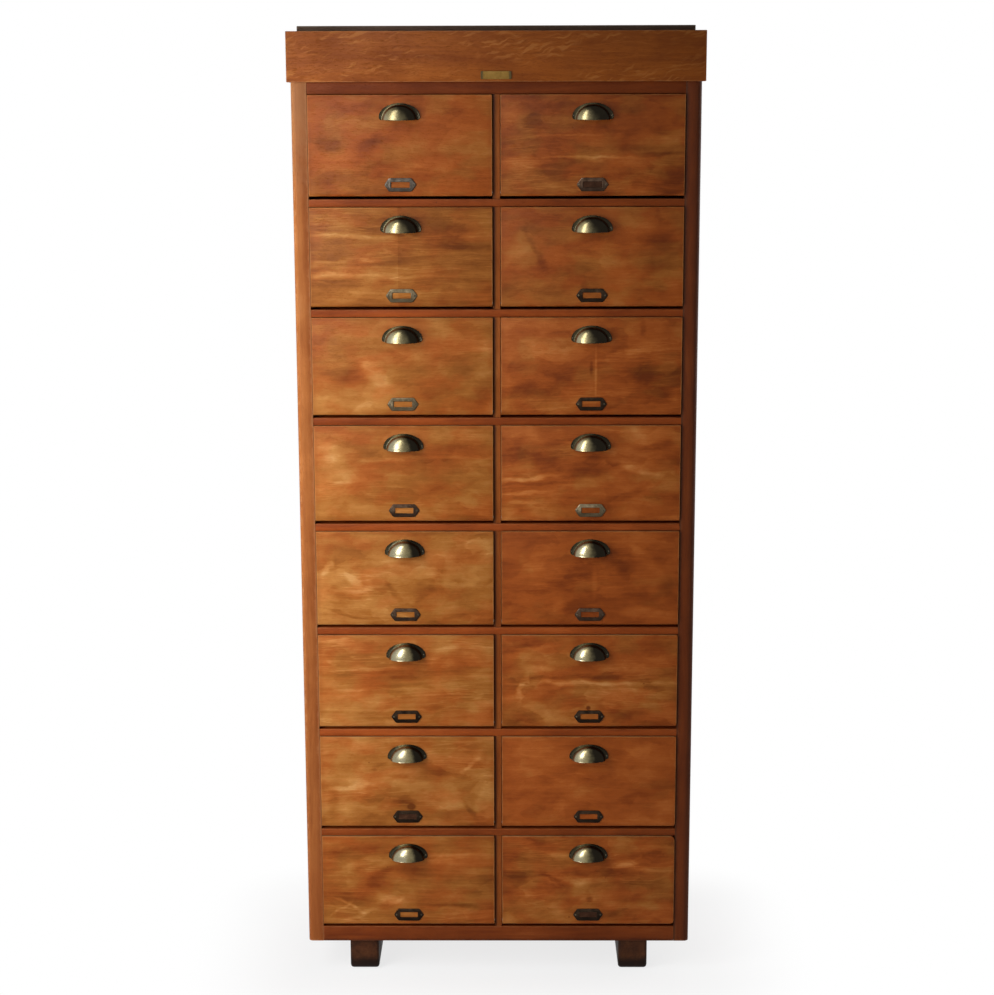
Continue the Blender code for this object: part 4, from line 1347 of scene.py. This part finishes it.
FLOOR_HALF = 9.0
FLOOR_COLOUR = (0.94, 0.94, 0.94, 1.0)
SHADOW_REACH = 0.3
WHITE_NEAR = 0.78
WHITE = (1, 1, 1, 1)


def seen_share(tree):
    """1 for rays that show their end: straight from the camera, mirrored or let through."""
    rays = tree.nodes.new("ShaderNodeLightPath").outputs
    direct = calc(tree, "MAXIMUM", rays["Is Camera Ray"], rays["Is Glossy Ray"])
    return calc(tree, "MAXIMUM", direct, rays["Is Transmission Ray"])


corners = [(x * FLOOR_HALF, y * FLOOR_HALF, 0) for x, y in ((-1, -1), (1, -1), (1, 1), (-1, 1))]
mesh = bpy.data.meshes.new("studio_floor")
mesh.from_pydata(corners, [], [(0, 1, 2, 3)])
floor = bpy.data.objects.new("studio_floor", mesh)
bpy.context.scene.collection.objects.link(floor)
material, tree, shader = new_material("pale_floor", 0.8, 0.1)
feed(tree, shader["Base Color"], FLOOR_COLOUR)
footprint = (cad_box[1].x, cad_box[1].y, 0.0)
outside = vector(tree, "SUBTRACT", vector(tree, "ABSOLUTE", own_place(tree)), footprint)
away = measure(tree, "LENGTH", vector(tree, "MAXIMUM", outside, (0.0, 0.0, 0.0)))
fading = calc(tree, "MULTIPLY_ADD", step(tree, away, 0.0, SHADOW_REACH), 1.0 - WHITE_NEAR, WHITE_NEAR)
mixed = tree.nodes.new("ShaderNodeMixShader")
feed(tree, mixed.inputs[0], calc(tree, "MULTIPLY", fading, seen_share(tree)))
feed(tree, mixed.inputs[1], tree.nodes["Principled BSDF"].outputs[0])
feed(tree, mixed.inputs[2], add(tree, "Emission", {"Color": WHITE, "Strength": 1.0}))
feed(tree, tree.nodes["Material Output"].inputs["Surface"], mixed.outputs[0])
mesh.materials.append(material)

# Light
# A tall soft window light near the left of the front and a second one further off, an even fill from all
# round, and panels for the back and the right side. One more panel only gleams in the brass and the varnish.

FILL = 0.08
world = bpy.data.worlds.new("studio")
world.use_nodes = True
bpy.context.scene.world = world
tree = world.node_tree
background = tree.nodes["Background"]
feed(tree, background.inputs["Color"], WHITE)
feed(tree, background.inputs["Strength"], calc(tree, "MULTIPLY_ADD", seen_share(tree), 1.0 - FILL, FILL))


def panel_light(name, place, target, size, power, mirrored=True, lighting=True):
    """A flat light that faces its target; it can be left out of the reflections or of the lighting."""
    lamp = bpy.data.lights.new(name, "AREA")
    lamp.shape = "RECTANGLE"
    lamp.size, lamp.size_y = size
    lamp.energy = power
    light = bpy.data.objects.new(name, lamp)
    light.location = place
    light.rotation_euler = (Vector(target) - Vector(place)).to_track_quat("-Z", "Y").to_euler()
    light.visible_camera = False
    light.visible_glossy = mirrored
    light.visible_diffuse = lighting
    bpy.context.scene.collection.objects.link(light)


panel_light("near_window", (-1.15, -0.98, 1.3), (-0.4, -0.19, 1.1), (0.6, 2.0), 25, mirrored=False)
panel_light("far_window", (-1.75, -3.3, 1.9), (0.0, -0.19, 1.15), (0.5, 1.8), 20)
panel_light("sheen_panel", (-1.65, -3.3, 3.0), (0.0, -0.19, 1.1), (0.7, 4.0), 125, lighting=False)
panel_light("back_panel_light", (0.6, 2.7, 1.6), (0, 0.2, 1.05), (2.0, 2.0), 40)
panel_light("right_panel_light", (2.7, 0.8, 1.5), (0.4, 0.0, 1.05), (1.6, 2.0), 34)

# Camera
# The photograph's own view: level with the top row and some four metres before it, looking slightly down,
# with the whole part in the frame.

IMAGE_HEIGHT = 995
FOCAL_PIXELS = 2000
SENSOR = 36.0
PITCH_DOWN = 11.16
YAW_LEFT = 0.46
ROLL = -0.16
STANDPOINT = (0.034, -4.491, 1.961)
camera_data = bpy.data.cameras.new("camera")
camera_data.sensor_width = SENSOR
camera_data.lens = SENSOR * FOCAL_PIXELS / IMAGE_HEIGHT
camera = bpy.data.objects.new("camera", camera_data)
camera.location = STANDPOINT
turned = Euler((math.radians(90 - PITCH_DOWN), 0, math.radians(YAW_LEFT))).to_matrix()
camera.rotation_euler = (turned @ Matrix.Rotation(math.radians(ROLL), 3, "Z")).to_euler()
bpy.context.scene.collection.objects.link(camera)
bpy.context.scene.camera = camera
bpy.context.scene.view_settings.view_transform = "Standard"
